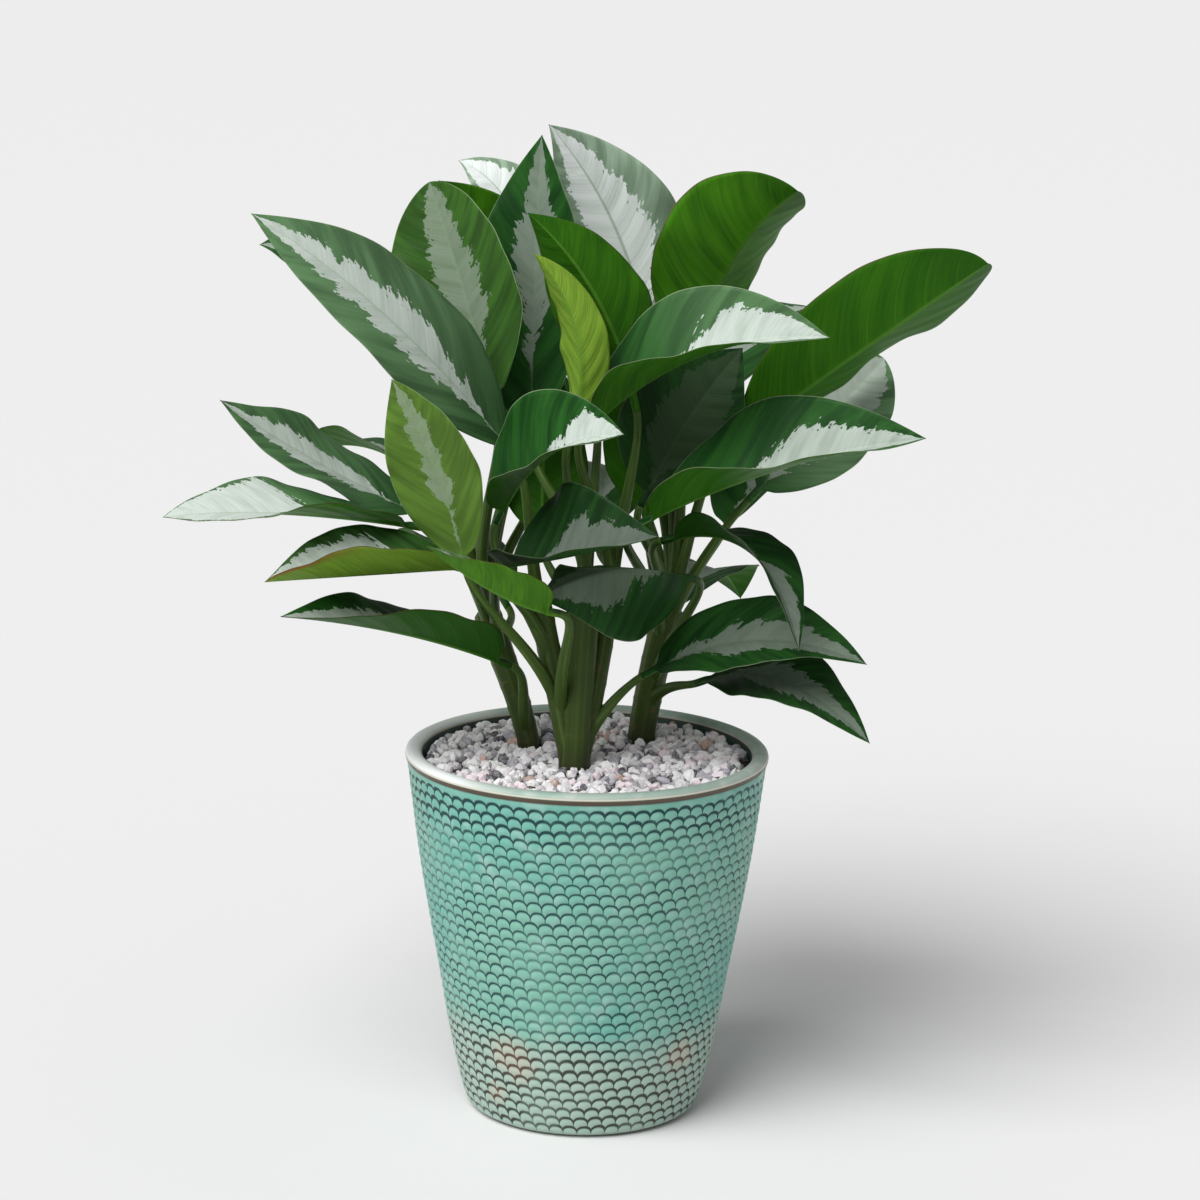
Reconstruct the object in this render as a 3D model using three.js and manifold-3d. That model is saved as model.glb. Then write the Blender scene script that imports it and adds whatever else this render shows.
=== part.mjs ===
// Potted aglaonema: a relief-glazed pot filled with potting mix and gravel, three clumps of canes
// with their petioles, and one thin folded blade for each leaf.
// Units are millimetres, +Z is up. The origin is the middle of the pot's foot, on the surface it
// stands on. +Y points away from the viewer of the front.
import * as THREE from 'three';
import Module from 'manifold-3d';
import { mergeVertices } from 'three/addons/utils/BufferGeometryUtils.js';

const wasm = await Module();
wasm.setup();

// Driving dimensions

const GAP = 0.3;                 // clearance between pieces that touch on the real plant

const POT_HEIGHT = 245;
const LIP_RADIUS = 120;          // outermost reach of the rolled lip
const LIP_HEIGHT = 6.5;          // from the foot of the lip's outer face to its top
const MOUTH_RADIUS = 109;        // inner edge of the lip
const SHOULDER_RADIUS = 118.4;   // body just under the lip
const WAIST_RADIUS = 89;         // body at WAIST_Z
const WAIST_Z = 52;
const HEEL_RADIUS = 82;          // body at HEEL_Z, where the foot starts to round in
const HEEL_Z = 20;
const FOOT_RADIUS = 66;          // flat foot
const BELLY = [[96.4, 95], [103.8, 136], [111, 180]];   // body radius and height between them
const WALL = 8;
const THROAT_Z = 224;            // the inside is straight above this height
const FLOOR = 12;
const FILLET = 6;                // slope between the inside of the wall and the floor
const POT_SECTORS = 52;          // corners round the pot, raised and sunk by turns
const SCALE_ROWS = 18;           // rows of the relief
const SCALE_RISE = 1.1;          // how far a scale's crown stands proud
const SCALE_MARGIN = 3;          // plain glaze between the relief and the lip or the foot

const GRAVEL_LEVEL = 238.5;      // middle of the gravel's surface
const GRAVEL_DEPTH = 9;
const STONE_RISE = 2.4;          // from the lowest joint to the highest stone
const STONE_RINGS = 10;
const STONE_SECTORS = 44;

const BLADE_THICKNESS = 0.9;
const STALK_RADIUS = 2.6;        // petiole where it meets the blade
const STALK_LENGTH = 9;          // round stalk that belongs to the blade
const SHEATH_RADIUS = 4.6;       // petiole where it leaves the cane
const SHEATH_SHARE = 0.77;       // share of the petiole over which it thins to STALK_RADIUS
const MIDRIB_DROP = 2.0;         // how far the midrib stands out below, at the blade's base
const CANE_FOOT_Z = 205;         // canes end this high, inside the potting mix

// Small vector helpers

const V = (x, y, z) => new THREE.Vector3(x, y, z);
const vec = (list) => V(list[0], list[1], list[2]);
const mix = (a, b, t) => a + (b - a) * t;
const radians = (degrees) => degrees * Math.PI / 180;

// A repeatable pseudo-random number from 0 to 1 for a whole-number index
function noise(index) {
  const value = Math.sin(index * 12.9898 + 4.1) * 43758.5453;
  return value - Math.floor(value);
}

// Mesh helpers

function geometryFrom(points, triangles) {
  const geometry = new THREE.BufferGeometry();
  const flat = points.flatMap((p) => [p.x, p.y, p.z]);
  geometry.setAttribute('position', new THREE.Float32BufferAttribute(flat, 3));
  geometry.setIndex(triangles.flat());
  return geometry;
}

// Closed solid through rings with equal counts of points, anticlockwise seen from the last ring.
// flip(j, k) says which quads are split along the other diagonal.
function loft(rings, flip = () => false) {
  const count = rings[0].length;
  const points = rings.flat();
  const triangles = [];
  for (let k = 0; k + 1 < rings.length; k += 1) {
    for (let j = 0; j < count; j += 1) {
      const next = (j + 1) % count;
      const [a, b] = [k * count + j, k * count + next];
      const [c, d] = [a + count, b + count];
      if (flip(j, k)) triangles.push([a, b, c], [b, d, c]);
      else triangles.push([a, b, d], [a, d, c]);
    }
  }
  const last = (rings.length - 1) * count;
  for (let j = 1; j + 1 < count; j += 1) {
    triangles.push([0, j + 1, j], [last, last + j, last + j + 1]);
  }
  return geometryFrom(points, triangles);
}

function toManifold(geometry) {
  const bare = geometry.clone();
  bare.deleteAttribute('normal');
  bare.deleteAttribute('uv');
  const merged = mergeVertices(bare, 1e-5);
  return new wasm.Manifold(new wasm.Mesh({
    numProp: 3,
    vertProperties: new Float32Array(merged.attributes.position.array),
    triVerts: new Uint32Array(merged.index.array),
  }));
}

function fromManifold(solid) {
  const mesh = solid.getMesh();
  const geometry = new THREE.BufferGeometry();
  const positions = [];
  for (let i = 0; i < mesh.vertProperties.length; i += mesh.numProp) {
    positions.push(...mesh.vertProperties.slice(i, i + 3));
  }
  geometry.setAttribute('position', new THREE.Float32BufferAttribute(positions, 3));
  geometry.setIndex(Array.from(mesh.triVerts));
  return geometry;
}

const union = (geometries) => fromManifold(geometries.map(toManifold).reduce((a, b) => a.add(b)));

const subtractAll = (geometry, cutters) => fromManifold(
  cutters.map(toManifold).reduce((solid, cutter) => solid.subtract(cutter), toManifold(geometry)));

// Pot

// Outer radius of the body at a height, a gentle S through the measured heights
const bodyProfile = [
  [FOOT_RADIUS, 0], [FOOT_RADIUS + 9.5, 2.5], [HEEL_RADIUS - 3.2, 9], [HEEL_RADIUS, HEEL_Z],
  [WAIST_RADIUS, WAIST_Z], ...BELLY, [SHOULDER_RADIUS, POT_HEIGHT - LIP_HEIGHT]];
const bodyCurve = new THREE.CatmullRomCurve3(
  bodyProfile.map(([radius, z]) => V(radius, z, 0)), false, 'centripetal');
const bodySamples = bodyCurve.getSpacedPoints(200);

function bodyRadius(z) {
  const i = Math.max(1, bodySamples.findIndex((p) => p.y >= z - 1e-9));
  const [a, b] = [bodySamples[i - 1], bodySamples[i]];
  return mix(a.x, b.x, (z - a.y) / (b.y - a.y));
}

const innerRadius = (z) => Math.min(MOUTH_RADIUS, bodyRadius(Math.max(z, HEEL_Z)) - WALL);

function ringAt(radius, z, count) {
  return Array.from({ length: count }, (unused, j) => {
    const angle = (j / count) * 2 * Math.PI;
    return V(radius * Math.cos(angle), radius * Math.sin(angle), z);
  });
}

// The body's relief: a lattice of crowns set like bricks
function scaleRing(row, count) {
  const z = mix(SCALE_MARGIN, POT_HEIGHT - LIP_HEIGHT - SCALE_MARGIN, row / SCALE_ROWS);
  return ringAt(1, z, count).map((p, j) => {
    const crown = (row + j) % 2 === 0 ? SCALE_RISE : 0;
    const radius = bodyRadius(z) - SCALE_RISE / 2 + crown;
    return V(p.x * radius, p.y * radius, z);
  });
}

// Heights of the inside from the floor up, as radius and height; the potting mix follows them
const MID_Z = 130;
const inside = [
  [innerRadius(HEEL_Z) - FILLET, FLOOR], [innerRadius(HEEL_Z), FLOOR + FILLET],
  [innerRadius(WAIST_Z), WAIST_Z], [innerRadius(MID_Z), MID_Z]];

function makePot() {
  const lipFoot = POT_HEIGHT - LIP_HEIGHT;
  const rings = [ringAt(FOOT_RADIUS, 0, POT_SECTORS)];
  for (let row = 0; row <= SCALE_ROWS; row += 1) rings.push(scaleRing(row, POT_SECTORS));
  const lip = [
    [SHOULDER_RADIUS, lipFoot], [LIP_RADIUS - 0.3, lipFoot + 0.8], [LIP_RADIUS, lipFoot + 2.6],
    [LIP_RADIUS - 1.2, lipFoot + 5], [LIP_RADIUS - 4.4, POT_HEIGHT],
    [MOUTH_RADIUS + 2.6, POT_HEIGHT - 0.7], [MOUTH_RADIUS, POT_HEIGHT - 3], [MOUTH_RADIUS, THROAT_Z]];
  [...lip, ...inside.toReversed()].forEach(([radius, z]) => rings.push(ringAt(radius, z, POT_SECTORS)));
  return loft(rings, (j, k) => k > 0 && k <= SCALE_ROWS && (k - 1 + j) % 2 === 0);
}

// Canes: the clump each belongs to, points on its axis from the gravel up, radius at foot and top

const CANES = {
  left: { clump: 'left', points: [[-39, 25, 238], [-46, 32, 265], [-58, 38, 297], [-70, 40, 330]],
    radii: [6.5, 9.5] },
  centre: { clump: 'centre', points: [[-8, -30, 238], [-7, -25, 273], [-5, -18, 321], [-2, -12, 372]],
    radii: [8.5, 11.5] },
  centre_left: { clump: 'centre', points: [[-11, -29, 238], [-17, -25, 273], [-27, -21, 321],
    [-36, -22, 362]], radii: [6.5, 8] },
  centre_right: { clump: 'centre', points: [[-5, -28, 238], [2, -19, 273], [10, -7, 321], [16, 2, 372]],
    radii: [6.5, 6.5] },
  right: { clump: 'right', points: [[36, 47, 238], [40, 52, 265], [46, 58, 294], [55, 62, 330]],
    radii: [8.5, 10.5] },
};
const CANE_SIDES = 8;
const CANE_STEPS = 5;
const PETIOLE_SIDES = 5;
const PETIOLE_STEPS = 5;

function caneCurve(cane) {
  const points = cane.points.map(vec);
  const foot = points[0].clone().setZ(CANE_FOOT_Z);
  return new THREE.CatmullRomCurve3([foot, ...points]);
}

// Rings of a round tube along a curve, its sides kept in line with the Y axis
function tubeRings(curve, steps, sides, radiusAt) {
  return Array.from({ length: steps + 1 }, (unused, k) => {
    const t = k / steps;
    const centre = curve.getPoint(t);
    const along = curve.getTangent(t);
    const across = V(0, 1, 0).cross(along).normalize();
    const up = along.clone().cross(across);
    return Array.from({ length: sides }, (unusedToo, j) => {
      const angle = (j / sides) * 2 * Math.PI;
      return centre.clone()
        .addScaledVector(across, radiusAt(t) * Math.cos(angle))
        .addScaledVector(up, radiusAt(t) * Math.sin(angle));
    });
  });
}

// Leaves. Each row: cane, how far up the cane its petiole leaves, the blade's base, middle and tip,
// the way its upper face looks, its width, and for its left and right half the fold at the midrib
// and the curl out to the margin, in degrees. Then the twist from base to tip and the waves of the
// margin: height and phase. A blunt leaf ends with the exponent of its tip in place of FALL.
// Left and right are as seen along the leaf with its face up.

const LEAVES = {
  leaf_upper_left: ['centre_left', 0.9, [-56, -15, 449], [-131, -60, 538], [-213, -75, 602],
    [3, -8, 4], 78, [30, 12], [-14, -16], -20, [4, 0]],
  leaf_left_upright: ['left', 1, [-65, 5, 475], [-86, 10, 549], [-108, 25, 613],
    [-3, -9, 2], 92, [8, 25], [0, 0], 0, [3, 1], 0.7],
  leaf_left_behind: ['left', 0.95, [-44, 50, 492], [-70, 55, 562], [-103, 45, 612],
    [-2, 6, 6], 80, [10, 10], [10, 10], 0, [2, 0]],
  leaf_crown: ['right', 1, [38, 80, 500], [12, 84, 580], [-32, 62, 648],
    [2, -9, 3], 90, [8, 10], [0, -10], 0, [3, 2]],
  leaf_crown_left: ['centre', 0.95, [-40, 18, 453], [-39, 33, 556], [-36, 42, 643],
    [-3, -8, 1], 84, [10, 20], [0, 0], 0, [2, 0]],
  leaf_back_pale: ['left', 0.9, [-34, 122, 512], [-56, 134, 582], [-94, 140, 616],
    [0, -5, 7], 64, [10, 10], [0, 0], 0, [2, 0]],
  leaf_upper_right: ['right', 0.95, [66, 50, 500], [91, 42, 566], [130, 28, 611],
    [-3, 6, 3], 116, [25, 6], [15, 12], 0, [3, 0], 0.6],
  leaf_far_right: ['right', 0.9, [99, 36, 450], [168, 2, 508], [248, -35, 574],
    [-1, 8, 3], 96, [40, 5], [10, 10], 0, [3, 1], 0.5],
  leaf_centre_right: ['centre_right', 0.9, [2, -32, 468], [70, -55, 516], [147, -75, 531],
    [-2, -8, 7], 92, [18, 60], [0, 10], 50, [2, 0]],
  leaf_centre_front: ['centre_left', 0.6, [-56, -60, 414], [-24, -80, 456], [20, -100, 472],
    [-3, -7, 5], 88, [10, 58], [5, 10], 40, [2, 0]],
  leaf_young: ['centre', 0.9, [-13, -38, 462], [-10, -42, 524], [-38, -43, 576],
    [4, 9, 1], 38, [20, 20], [20, 20], 0, [1, 0], 0.9],
  leaf_crown_under: ['centre_right', 0.95, [26, -4, 480], [0, -18, 548], [-43, -26, 600],
    [-3, 7, 5], 66, [15, 15], [15, 15], 0, [2, 0]],
  leaf_shade_right: ['right', 0.95, [36, 18, 412], [64, 28, 462], [97, 30, 508],
    [0, -9, 4], 84, [10, 10], [0, 0], 0, [3, 0]],
  leaf_right: ['right', 0.75, [38, -45, 408], [121, -75, 448], [208, -90, 471],
    [-1, -7, 7], 98, [15, 58], [0, 10], 50, [3, 0]],
  leaf_right_behind: ['right', 0.8, [110, 44, 411], [152, 54, 456], [192, 60, 498],
    [0, -9, 4], 76, [10, 10], [0, 0], 0, [3, 2], 0.6],
  leaf_left_high: ['left', 0.9, [-115, 22, 396], [-180, 8, 432], [-240, -10, 474],
    [1, -4, 9], 68, [15, 15], [-15, -15], -20, [4, 1]],
  leaf_left_low: ['left', 0.7, [-116, -40, 400], [-198, -58, 410], [-270, -72, 409],
    [0, -3, 9], 76, [30, 10], [0, -10], -45, [2, 2]],
  leaf_front_upright: ['centre_left', 0.45, [-80, -72, 385], [-101, -84, 453], [-125, -88, 502],
    [-3, -9, 2], 58, [10, 10], [0, 0], 0, [2, 0]],
  leaf_low_left: ['left', 0.7, [-84, -50, 375], [-152, -75, 374], [-205, -80, 370],
    [0, -5, 8], 72, [60, 20], [20, 0], 0, [2, 1]],
  leaf_lowest_left: ['left', 0.3, [-58, -25, 308], [-121, -60, 334], [-194, -90, 350],
    [0, -1, 9], 84, [32, 15], [10, 0], -36, [2, 0]],
  leaf_front: ['centre_left', 0.7, [-52, -84, 384], [-10, -116, 398], [42, -135, 415],
    [-2, -7, 6], 98, [10, 60], [5, 10], 20, [2, 0]],
  leaf_front_small: ['centre_left', 0.42, [-26, -106, 360], [-60, -130, 378], [-100, -142, 408],
    [0, -2, 9], 56, [52, 10], [5, 0], 0, [2, 0]],
  leaf_front_low: ['right', 0.5, [64, -16, 364], [14, -74, 380], [-33, -98, 366],
    [1, -5, 8], 92, [-45, -35], [-10, 0], 0, [2, 1]],
  leaf_right_drooping: ['right', 0.85, [54, -16, 390], [104, -55, 388], [133, -88, 333],
    [5, -5, 7], 54, [10, 40], [0, 0], 40, [2, 0]],
  leaf_right_lower: ['centre_right', 0.28, [43, -20, 303], [109, -45, 330], [177, -75, 322],
    [0, -5, 8], 68, [15, 15], [0, 0], 0, [3, 0]],
  leaf_right_lowest: ['right', 0.42, [78, 0, 292], [128, -40, 301], [181, -70, 269],
    [2, -5, 8], 62, [10, 10], [0, 0], 0, [3, 1]],
  leaf_left_peeking: ['left', 1, [-125, 70, 500], [-175, 75, 548], [-222, 70, 565],
    [0, -5, 8], 60, [10, 10], [0, 0], 0, [2, 0]],
  leaf_back_high: ['centre', 0.9, [2, 124, 462], [-6, 186, 522], [-14, 254, 506],
    [0, 5, 8], 86, [12, 12], [0, 0], 0, [3, 0]],
  leaf_back_right_high: ['right', 0.95, [66, 100, 445], [118, 152, 508], [178, 205, 500],
    [3, 3, 8], 88, [12, 12], [0, 0], 0, [3, 2]],
  leaf_back_left_high: ['left', 0.95, [-60, 98, 445], [-110, 150, 508], [-170, 198, 500],
    [-3, 3, 8], 86, [12, 12], [0, 0], 0, [3, 1]],
  leaf_back_left: ['left', 0.85, [-85, 92, 372], [-148, 132, 418], [-212, 168, 400],
    [-1, 3, 9], 82, [12, 12], [0, 0], 0, [3, 0]],
  leaf_back_right: ['right', 0.85, [92, 112, 372], [132, 165, 408], [168, 222, 388],
    [1, 3, 9], 84, [12, 12], [0, 0], 0, [3, 1]],
  leaf_back: ['right', 0.8, [6, 122, 362], [8, 190, 398], [8, 256, 368],
    [0, 4, 9], 80, [12, 12], [0, 0], 0, [3, 2]],
  leaf_back_right_low: ['right', 0.6, [56, 125, 310], [84, 180, 328], [108, 232, 296],
    [1, 3, 9], 74, [12, 12], [0, 0], 0, [3, 0]],
  leaf_back_left_low: ['left', 0.7, [-60, 110, 320], [-102, 165, 346], [-145, 220, 318],
    [-1, 3, 9], 74, [12, 12], [0, 0], 0, [3, 1]],
  leaf_inner: ['centre', 0.7, [-32, 32, 382], [-32, 54, 434], [-27, 62, 490],
    [0, 9, 3], 60, [10, 10], [0, 0], 0, [2, 0]],
  leaf_inner_right: ['right', 0.75, [36, 40, 394], [31, 42, 448], [24, 46, 500],
    [1, 9, 2], 52, [10, 10], [0, 0], 0, [2, 1]],
  leaf_back_top: ['right', 1, [16, 118, 510], [10, 160, 578], [2, 212, 600],
    [0, 5, 8], 80, [12, 12], [0, 0], 0, [3, 1]],
  leaf_back_mid_right: ['right', 0.9, [34, 122, 420], [58, 186, 466], [84, 248, 448],
    [1, 4, 8], 80, [12, 12], [0, 0], 0, [3, 0]],
  leaf_back_mid_left: ['left', 0.9, [-38, 118, 412], [-60, 182, 460], [-90, 240, 446],
    [-1, 4, 8], 80, [12, 12], [0, 0], 0, [3, 2]],
};

const RISE = 0.72;               // exponent of the outline at the blade's base
const FALL = 1.05;               // exponent at a pointed tip
const STATIONS = [0.07, 0.21, 0.4, 0.6, 0.8, 1];
const ACROSS = [-1, -0.5, 0, 0.5, 1];
const RING_POINTS = 2 * ACROSS.length;
const TIP_HALF_WIDTH = 0.9;
const WAVES = 1.6;               // waves of the margin from base to tip
const WAVE_SHIFT = 1.9;          // by which the left margin's waves lag the right's, in radians

// Share of the full width at t, from 0 at the base over 1 at the widest place to 0 at the tip
function outline(t, fall) {
  const widest = RISE / (RISE + fall);
  const peak = widest ** RISE * (1 - widest) ** fall;
  return (t ** RISE * (1 - t) ** fall) / peak;
}

// Curve of the midrib: a parabola through base, middle and tip
function midrib(leaf) {
  const control = leaf.middle.clone().multiplyScalar(2)
    .sub(leaf.base.clone().add(leaf.tip).multiplyScalar(0.5));
  return new THREE.QuadraticBezierCurve3(leaf.base, control, leaf.tip);
}

// Axes of the blade at t: along the midrib, to the right, and out of the upper face
function bladeAxes(leaf, curve, t) {
  const along = curve.getTangent(t);
  const right = along.clone().cross(leaf.face).normalize();
  right.applyAxisAngle(along, radians(leaf.twist) * (t - 0.5));
  return { along, right, up: right.clone().cross(along) };
}

// Point of a half blade: an arc that leaves the midrib at the fold angle and bends by the curl
function arc(reach, fold, curl) {
  const bend = Math.abs(curl) < 1e-3 ? 1e-3 : curl;
  return [reach * (Math.sin(fold + bend) - Math.sin(fold)) / bend,
    reach * (Math.cos(fold) - Math.cos(fold + bend)) / bend];
}

// Section of the blade at t: five points on the upper face, then five back along the lower one
function bladeRing(leaf, curve, t) {
  const centre = curve.getPoint(t);
  const { right, up } = bladeAxes(leaf, curve, t);
  const half = Math.max(TIP_HALF_WIDTH, leaf.width / 2 * outline(t, leaf.fall));
  const face = (side) => ACROSS.map((c) => {
    const hand = c < 0 ? 0 : 1;
    const part = Math.abs(c);
    const fold = radians(leaf.fold[hand]);
    const curl = radians(leaf.curl[hand]) * part;
    const [x, y] = arc(half * part, fold, curl);
    const slope = part === 0 ? 0 : fold + curl;
    const ripple = leaf.wave * part * part * outline(t, leaf.fall)
      * Math.sin(2 * Math.PI * WAVES * t + leaf.phase + (c < 0 ? WAVE_SHIFT : 0));
    const rib = part === 0 && side < 0 ? MIDRIB_DROP * (1 - t) : 0;
    const lift = ripple + side * (BLADE_THICKNESS / 2 + rib);
    const sign = c < 0 ? -1 : 1;
    return centre.clone()
      .addScaledVector(right, sign * (x - lift * Math.sin(slope)))
      .addScaledVector(up, y + lift * Math.cos(slope));
  });
  return [...face(1), ...face(-1).reverse()];
}

// Section of the round stalk, behind the base: the points of a blade ring set round a circle
function stalkRing(leaf, curve, back) {
  const { along, right, up } = bladeAxes(leaf, curve, 0);
  const centre = curve.getPoint(0).addScaledVector(along, -back);
  return Array.from({ length: RING_POINTS }, (unused, j) => {
    const angle = Math.PI * (1 - (2 * j + 1) / RING_POINTS);
    return centre.clone()
      .addScaledVector(right, STALK_RADIUS * Math.cos(angle))
      .addScaledVector(up, STALK_RADIUS * Math.sin(angle));
  });
}

function makeBlade(leaf) {
  const curve = midrib(leaf);
  const rings = [stalkRing(leaf, curve, STALK_LENGTH), stalkRing(leaf, curve, 0)];
  STATIONS.forEach((t) => rings.push(bladeRing(leaf, curve, t)));
  return loft(rings, (j) => j < ACROSS.length);
}

// A petiole rises between the cane's own direction and the blade, and bends into the blade's base.
// Its two inner control points lie these shares of its span from its ends.
const RISE_HANDLE = 0.42;
const BEND_HANDLE = 0.22;

function petioleCurve(leaf, cane) {
  const curve = caneCurve(cane);
  const start = curve.getPointAt(leaf.node);
  const away = curve.getTangentAt(leaf.node);
  const { along } = bladeAxes(leaf, midrib(leaf), 0);
  const end = leaf.base.clone().addScaledVector(along, -STALK_LENGTH - GAP);
  const span = start.distanceTo(end);
  const lean = end.clone().sub(start).normalize().add(away).normalize();
  return new THREE.CubicBezierCurve3(start, start.clone().addScaledVector(lean, span * RISE_HANDLE),
    end.clone().addScaledVector(along, -span * BEND_HANDLE), end);
}

function readLeaf(row) {
  const [cane, node, base, middle, tip, face, width, ...bends] = row;
  const [fold, curl, twist, [wave, phase], fall = FALL] = bends;
  return {
    cane, node, base: vec(base), middle: vec(middle), tip: vec(tip), face: vec(face), width,
    fold, curl, twist, wave, phase, fall,
  };
}

const leaves = Object.entries(LEAVES).map(([name, row]) => ({ name, ...readLeaf(row) }));

// A clump: its canes joined with the petioles of all the leaves they carry
function makeStem(clump) {
  const tubes = [];
  Object.entries(CANES).filter(([, cane]) => cane.clump === clump).forEach(([name, cane]) => {
    const [low, high] = cane.radii;
    tubes.push(loft(tubeRings(caneCurve(cane), CANE_STEPS, CANE_SIDES, (t) => mix(low, high, t))));
    leaves.filter((leaf) => leaf.cane === name).forEach((leaf) => {
      const radiusAt = (t) => mix(SHEATH_RADIUS, STALK_RADIUS, Math.min(1, t / SHEATH_SHARE));
      tubes.push(loft(tubeRings(petioleCurve(leaf, cane), PETIOLE_STEPS, PETIOLE_SIDES, radiusAt)));
    });
  });
  return union(tubes);
}

// Filling

// Plain eight-sided holes in which the canes stand
function stemHoles(grow) {
  return Object.values(CANES).map((cane) => {
    const [low, high] = cane.radii;
    const rings = tubeRings(caneCurve(cane), CANE_STEPS, CANE_SIDES,
      (t) => (mix(low, high, t) + grow) / Math.cos(Math.PI / CANE_SIDES));
    rings[0].forEach((p) => p.setZ(CANE_FOOT_Z - grow));
    return loft(rings);
  });
}

function makePottingMix() {
  const top = GRAVEL_LEVEL - GRAVEL_DEPTH - GAP;
  const levels = [...inside, [innerRadius(top), top]];
  const rings = levels.map(([radius, z]) => ringAt(radius - 2 * GAP, Math.max(z, FLOOR + GAP), 48));
  return subtractAll(loft(rings), stemHoles(GAP));
}

// Height of the gravel's surface at a corner of its lattice: stones and joints by turns
function stoneHeight(ring, sector) {
  const draw = noise(ring * 97 + sector);
  const share = (ring + sector) % 2 === 0 ? 0.5 + 0.5 * draw : 0.25 * draw;
  return GRAVEL_LEVEL + STONE_RISE * (share - 0.33);
}

// Gravel: a disc whose top is a lattice of stones, each crown at its own height
function makeGravel() {
  const floor = GRAVEL_LEVEL - GRAVEL_DEPTH;
  const edge = MOUTH_RADIUS - 3 * GAP;
  const points = [V(0, 0, floor)];
  points.push(...ringAt(edge, floor, STONE_SECTORS));
  for (let ring = STONE_RINGS; ring >= 1; ring -= 1) {
    const radius = edge * ring / STONE_RINGS;
    const corners = ringAt(radius, GRAVEL_LEVEL, STONE_SECTORS);
    points.push(...corners.map((p, j) => p.setZ(stoneHeight(ring, j))));
  }
  points.push(V(0, 0, GRAVEL_LEVEL));
  const triangles = [];
  for (let j = 0; j < STONE_SECTORS; j += 1) {
    const next = (j + 1) % STONE_SECTORS;
    triangles.push([0, 1 + next, 1 + j]);
    for (let ring = 0; ring < STONE_RINGS; ring += 1) {
      const [a, b] = [1 + ring * STONE_SECTORS + j, 1 + ring * STONE_SECTORS + next];
      const [c, d] = [a + STONE_SECTORS, b + STONE_SECTORS];
      if ((STONE_RINGS - ring + j) % 2 === 0) triangles.push([a, b, d], [a, d, c]);
      else triangles.push([a, b, c], [b, d, c]);
    }
    const inner = 1 + STONE_RINGS * STONE_SECTORS;
    triangles.push([inner + j, inner + next, points.length - 1]);
  }
  return subtractAll(geometryFrom(points, triangles), stemHoles(GAP));
}

// Assembly

function material(color, roughness) {
  return new THREE.MeshStandardMaterial({ color, roughness, metalness: 0 });
}

const glaze = material('#7fbfae', 0.35);
const soil = material('#3b2c22', 0.95);
const stone = material('#bdb6b4', 0.8);
const stalk = material('#5d7a34', 0.5);
const blade = material('#3f7d4a', 0.4);

const plant = new THREE.Group();

function place(name, geometry, finish) {
  const mesh = new THREE.Mesh(geometry, finish);
  mesh.name = name;
  plant.add(mesh);
}

place('pot', makePot(), glaze);
place('potting_mix', makePottingMix(), soil);
place('gravel', makeGravel(), stone);
['left', 'centre', 'right'].forEach((clump) => place(`stem_${clump}`, makeStem(clump), stalk));
leaves.forEach((leaf) => place(leaf.name, makeBlade(leaf), blade));

export default plant;
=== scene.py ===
"""Looks of the potted aglaonema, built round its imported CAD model.

Lengths are in millimetres until put_piece hands them to Blender in metres. +Z is up, -Y is the
front. Each shape is a numpy surface: a grid of points worked out from two parameters at once.
"""
import math

import bpy
import numpy as np
from bpy.props import FloatProperty, FloatVectorProperty, IntProperty, PointerProperty
from mathutils import Matrix


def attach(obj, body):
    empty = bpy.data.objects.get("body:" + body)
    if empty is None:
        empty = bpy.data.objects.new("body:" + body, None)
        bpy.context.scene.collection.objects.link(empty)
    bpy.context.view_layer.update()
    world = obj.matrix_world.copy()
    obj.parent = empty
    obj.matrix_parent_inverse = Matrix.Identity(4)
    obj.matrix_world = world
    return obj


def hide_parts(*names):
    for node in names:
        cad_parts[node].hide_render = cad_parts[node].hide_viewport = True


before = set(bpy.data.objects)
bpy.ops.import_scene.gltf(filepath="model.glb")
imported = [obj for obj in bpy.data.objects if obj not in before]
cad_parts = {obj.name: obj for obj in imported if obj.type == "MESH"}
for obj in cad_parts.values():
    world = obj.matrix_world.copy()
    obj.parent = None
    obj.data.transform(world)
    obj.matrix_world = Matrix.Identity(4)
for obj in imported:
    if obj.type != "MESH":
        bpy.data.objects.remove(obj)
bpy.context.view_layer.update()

bl_info = {
    "name": "Potted aglaonema",
    "version": (1, 0, 0),
    "blender": (4, 5, 0),
    "location": "View3D > Sidebar > Aglaonema",
    "description": "Builds the pot, the gravel, the stems and the leaves of a potted aglaonema",
    "category": "Add Mesh",
}

MM = 0.001


# Numbers and curves


def unit(v):
    """v divided by its own length, along the last axis."""
    return v / np.linalg.norm(v, axis=-1, keepdims=True)


def ease(x, low, high):
    """0 below low, 1 above high and 3f^2 - 2f^3 between, where f is the share of the way."""
    f = np.clip((np.asarray(x, float) - low) / (high - low), 0, 1)
    return f * f * (3 - 2 * f)


def lattice_noise(x, y, seed, wrap=None):
    """Smooth noise from -1 to 1: random values on whole numbers, blended with ease between them.
    wrap is the count of values after which x repeats."""
    table = np.random.default_rng(seed).uniform(-1, 1, (256, 256))
    x, y = np.broadcast_arrays(np.asarray(x, float), np.asarray(y, float))
    column, row = np.floor(x).astype(int), np.floor(y).astype(int)
    a, b = ease(x - column, 0, 1), ease(y - row, 0, 1)
    turn = wrap or 256

    def at(i, j):
        return table[(column + i) % turn % 256, (row + j) % 256]

    low = at(0, 0) * (1 - a) + at(1, 0) * a
    high = at(0, 1) * (1 - a) + at(1, 1) * a
    return low * (1 - b) + high * b


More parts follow.
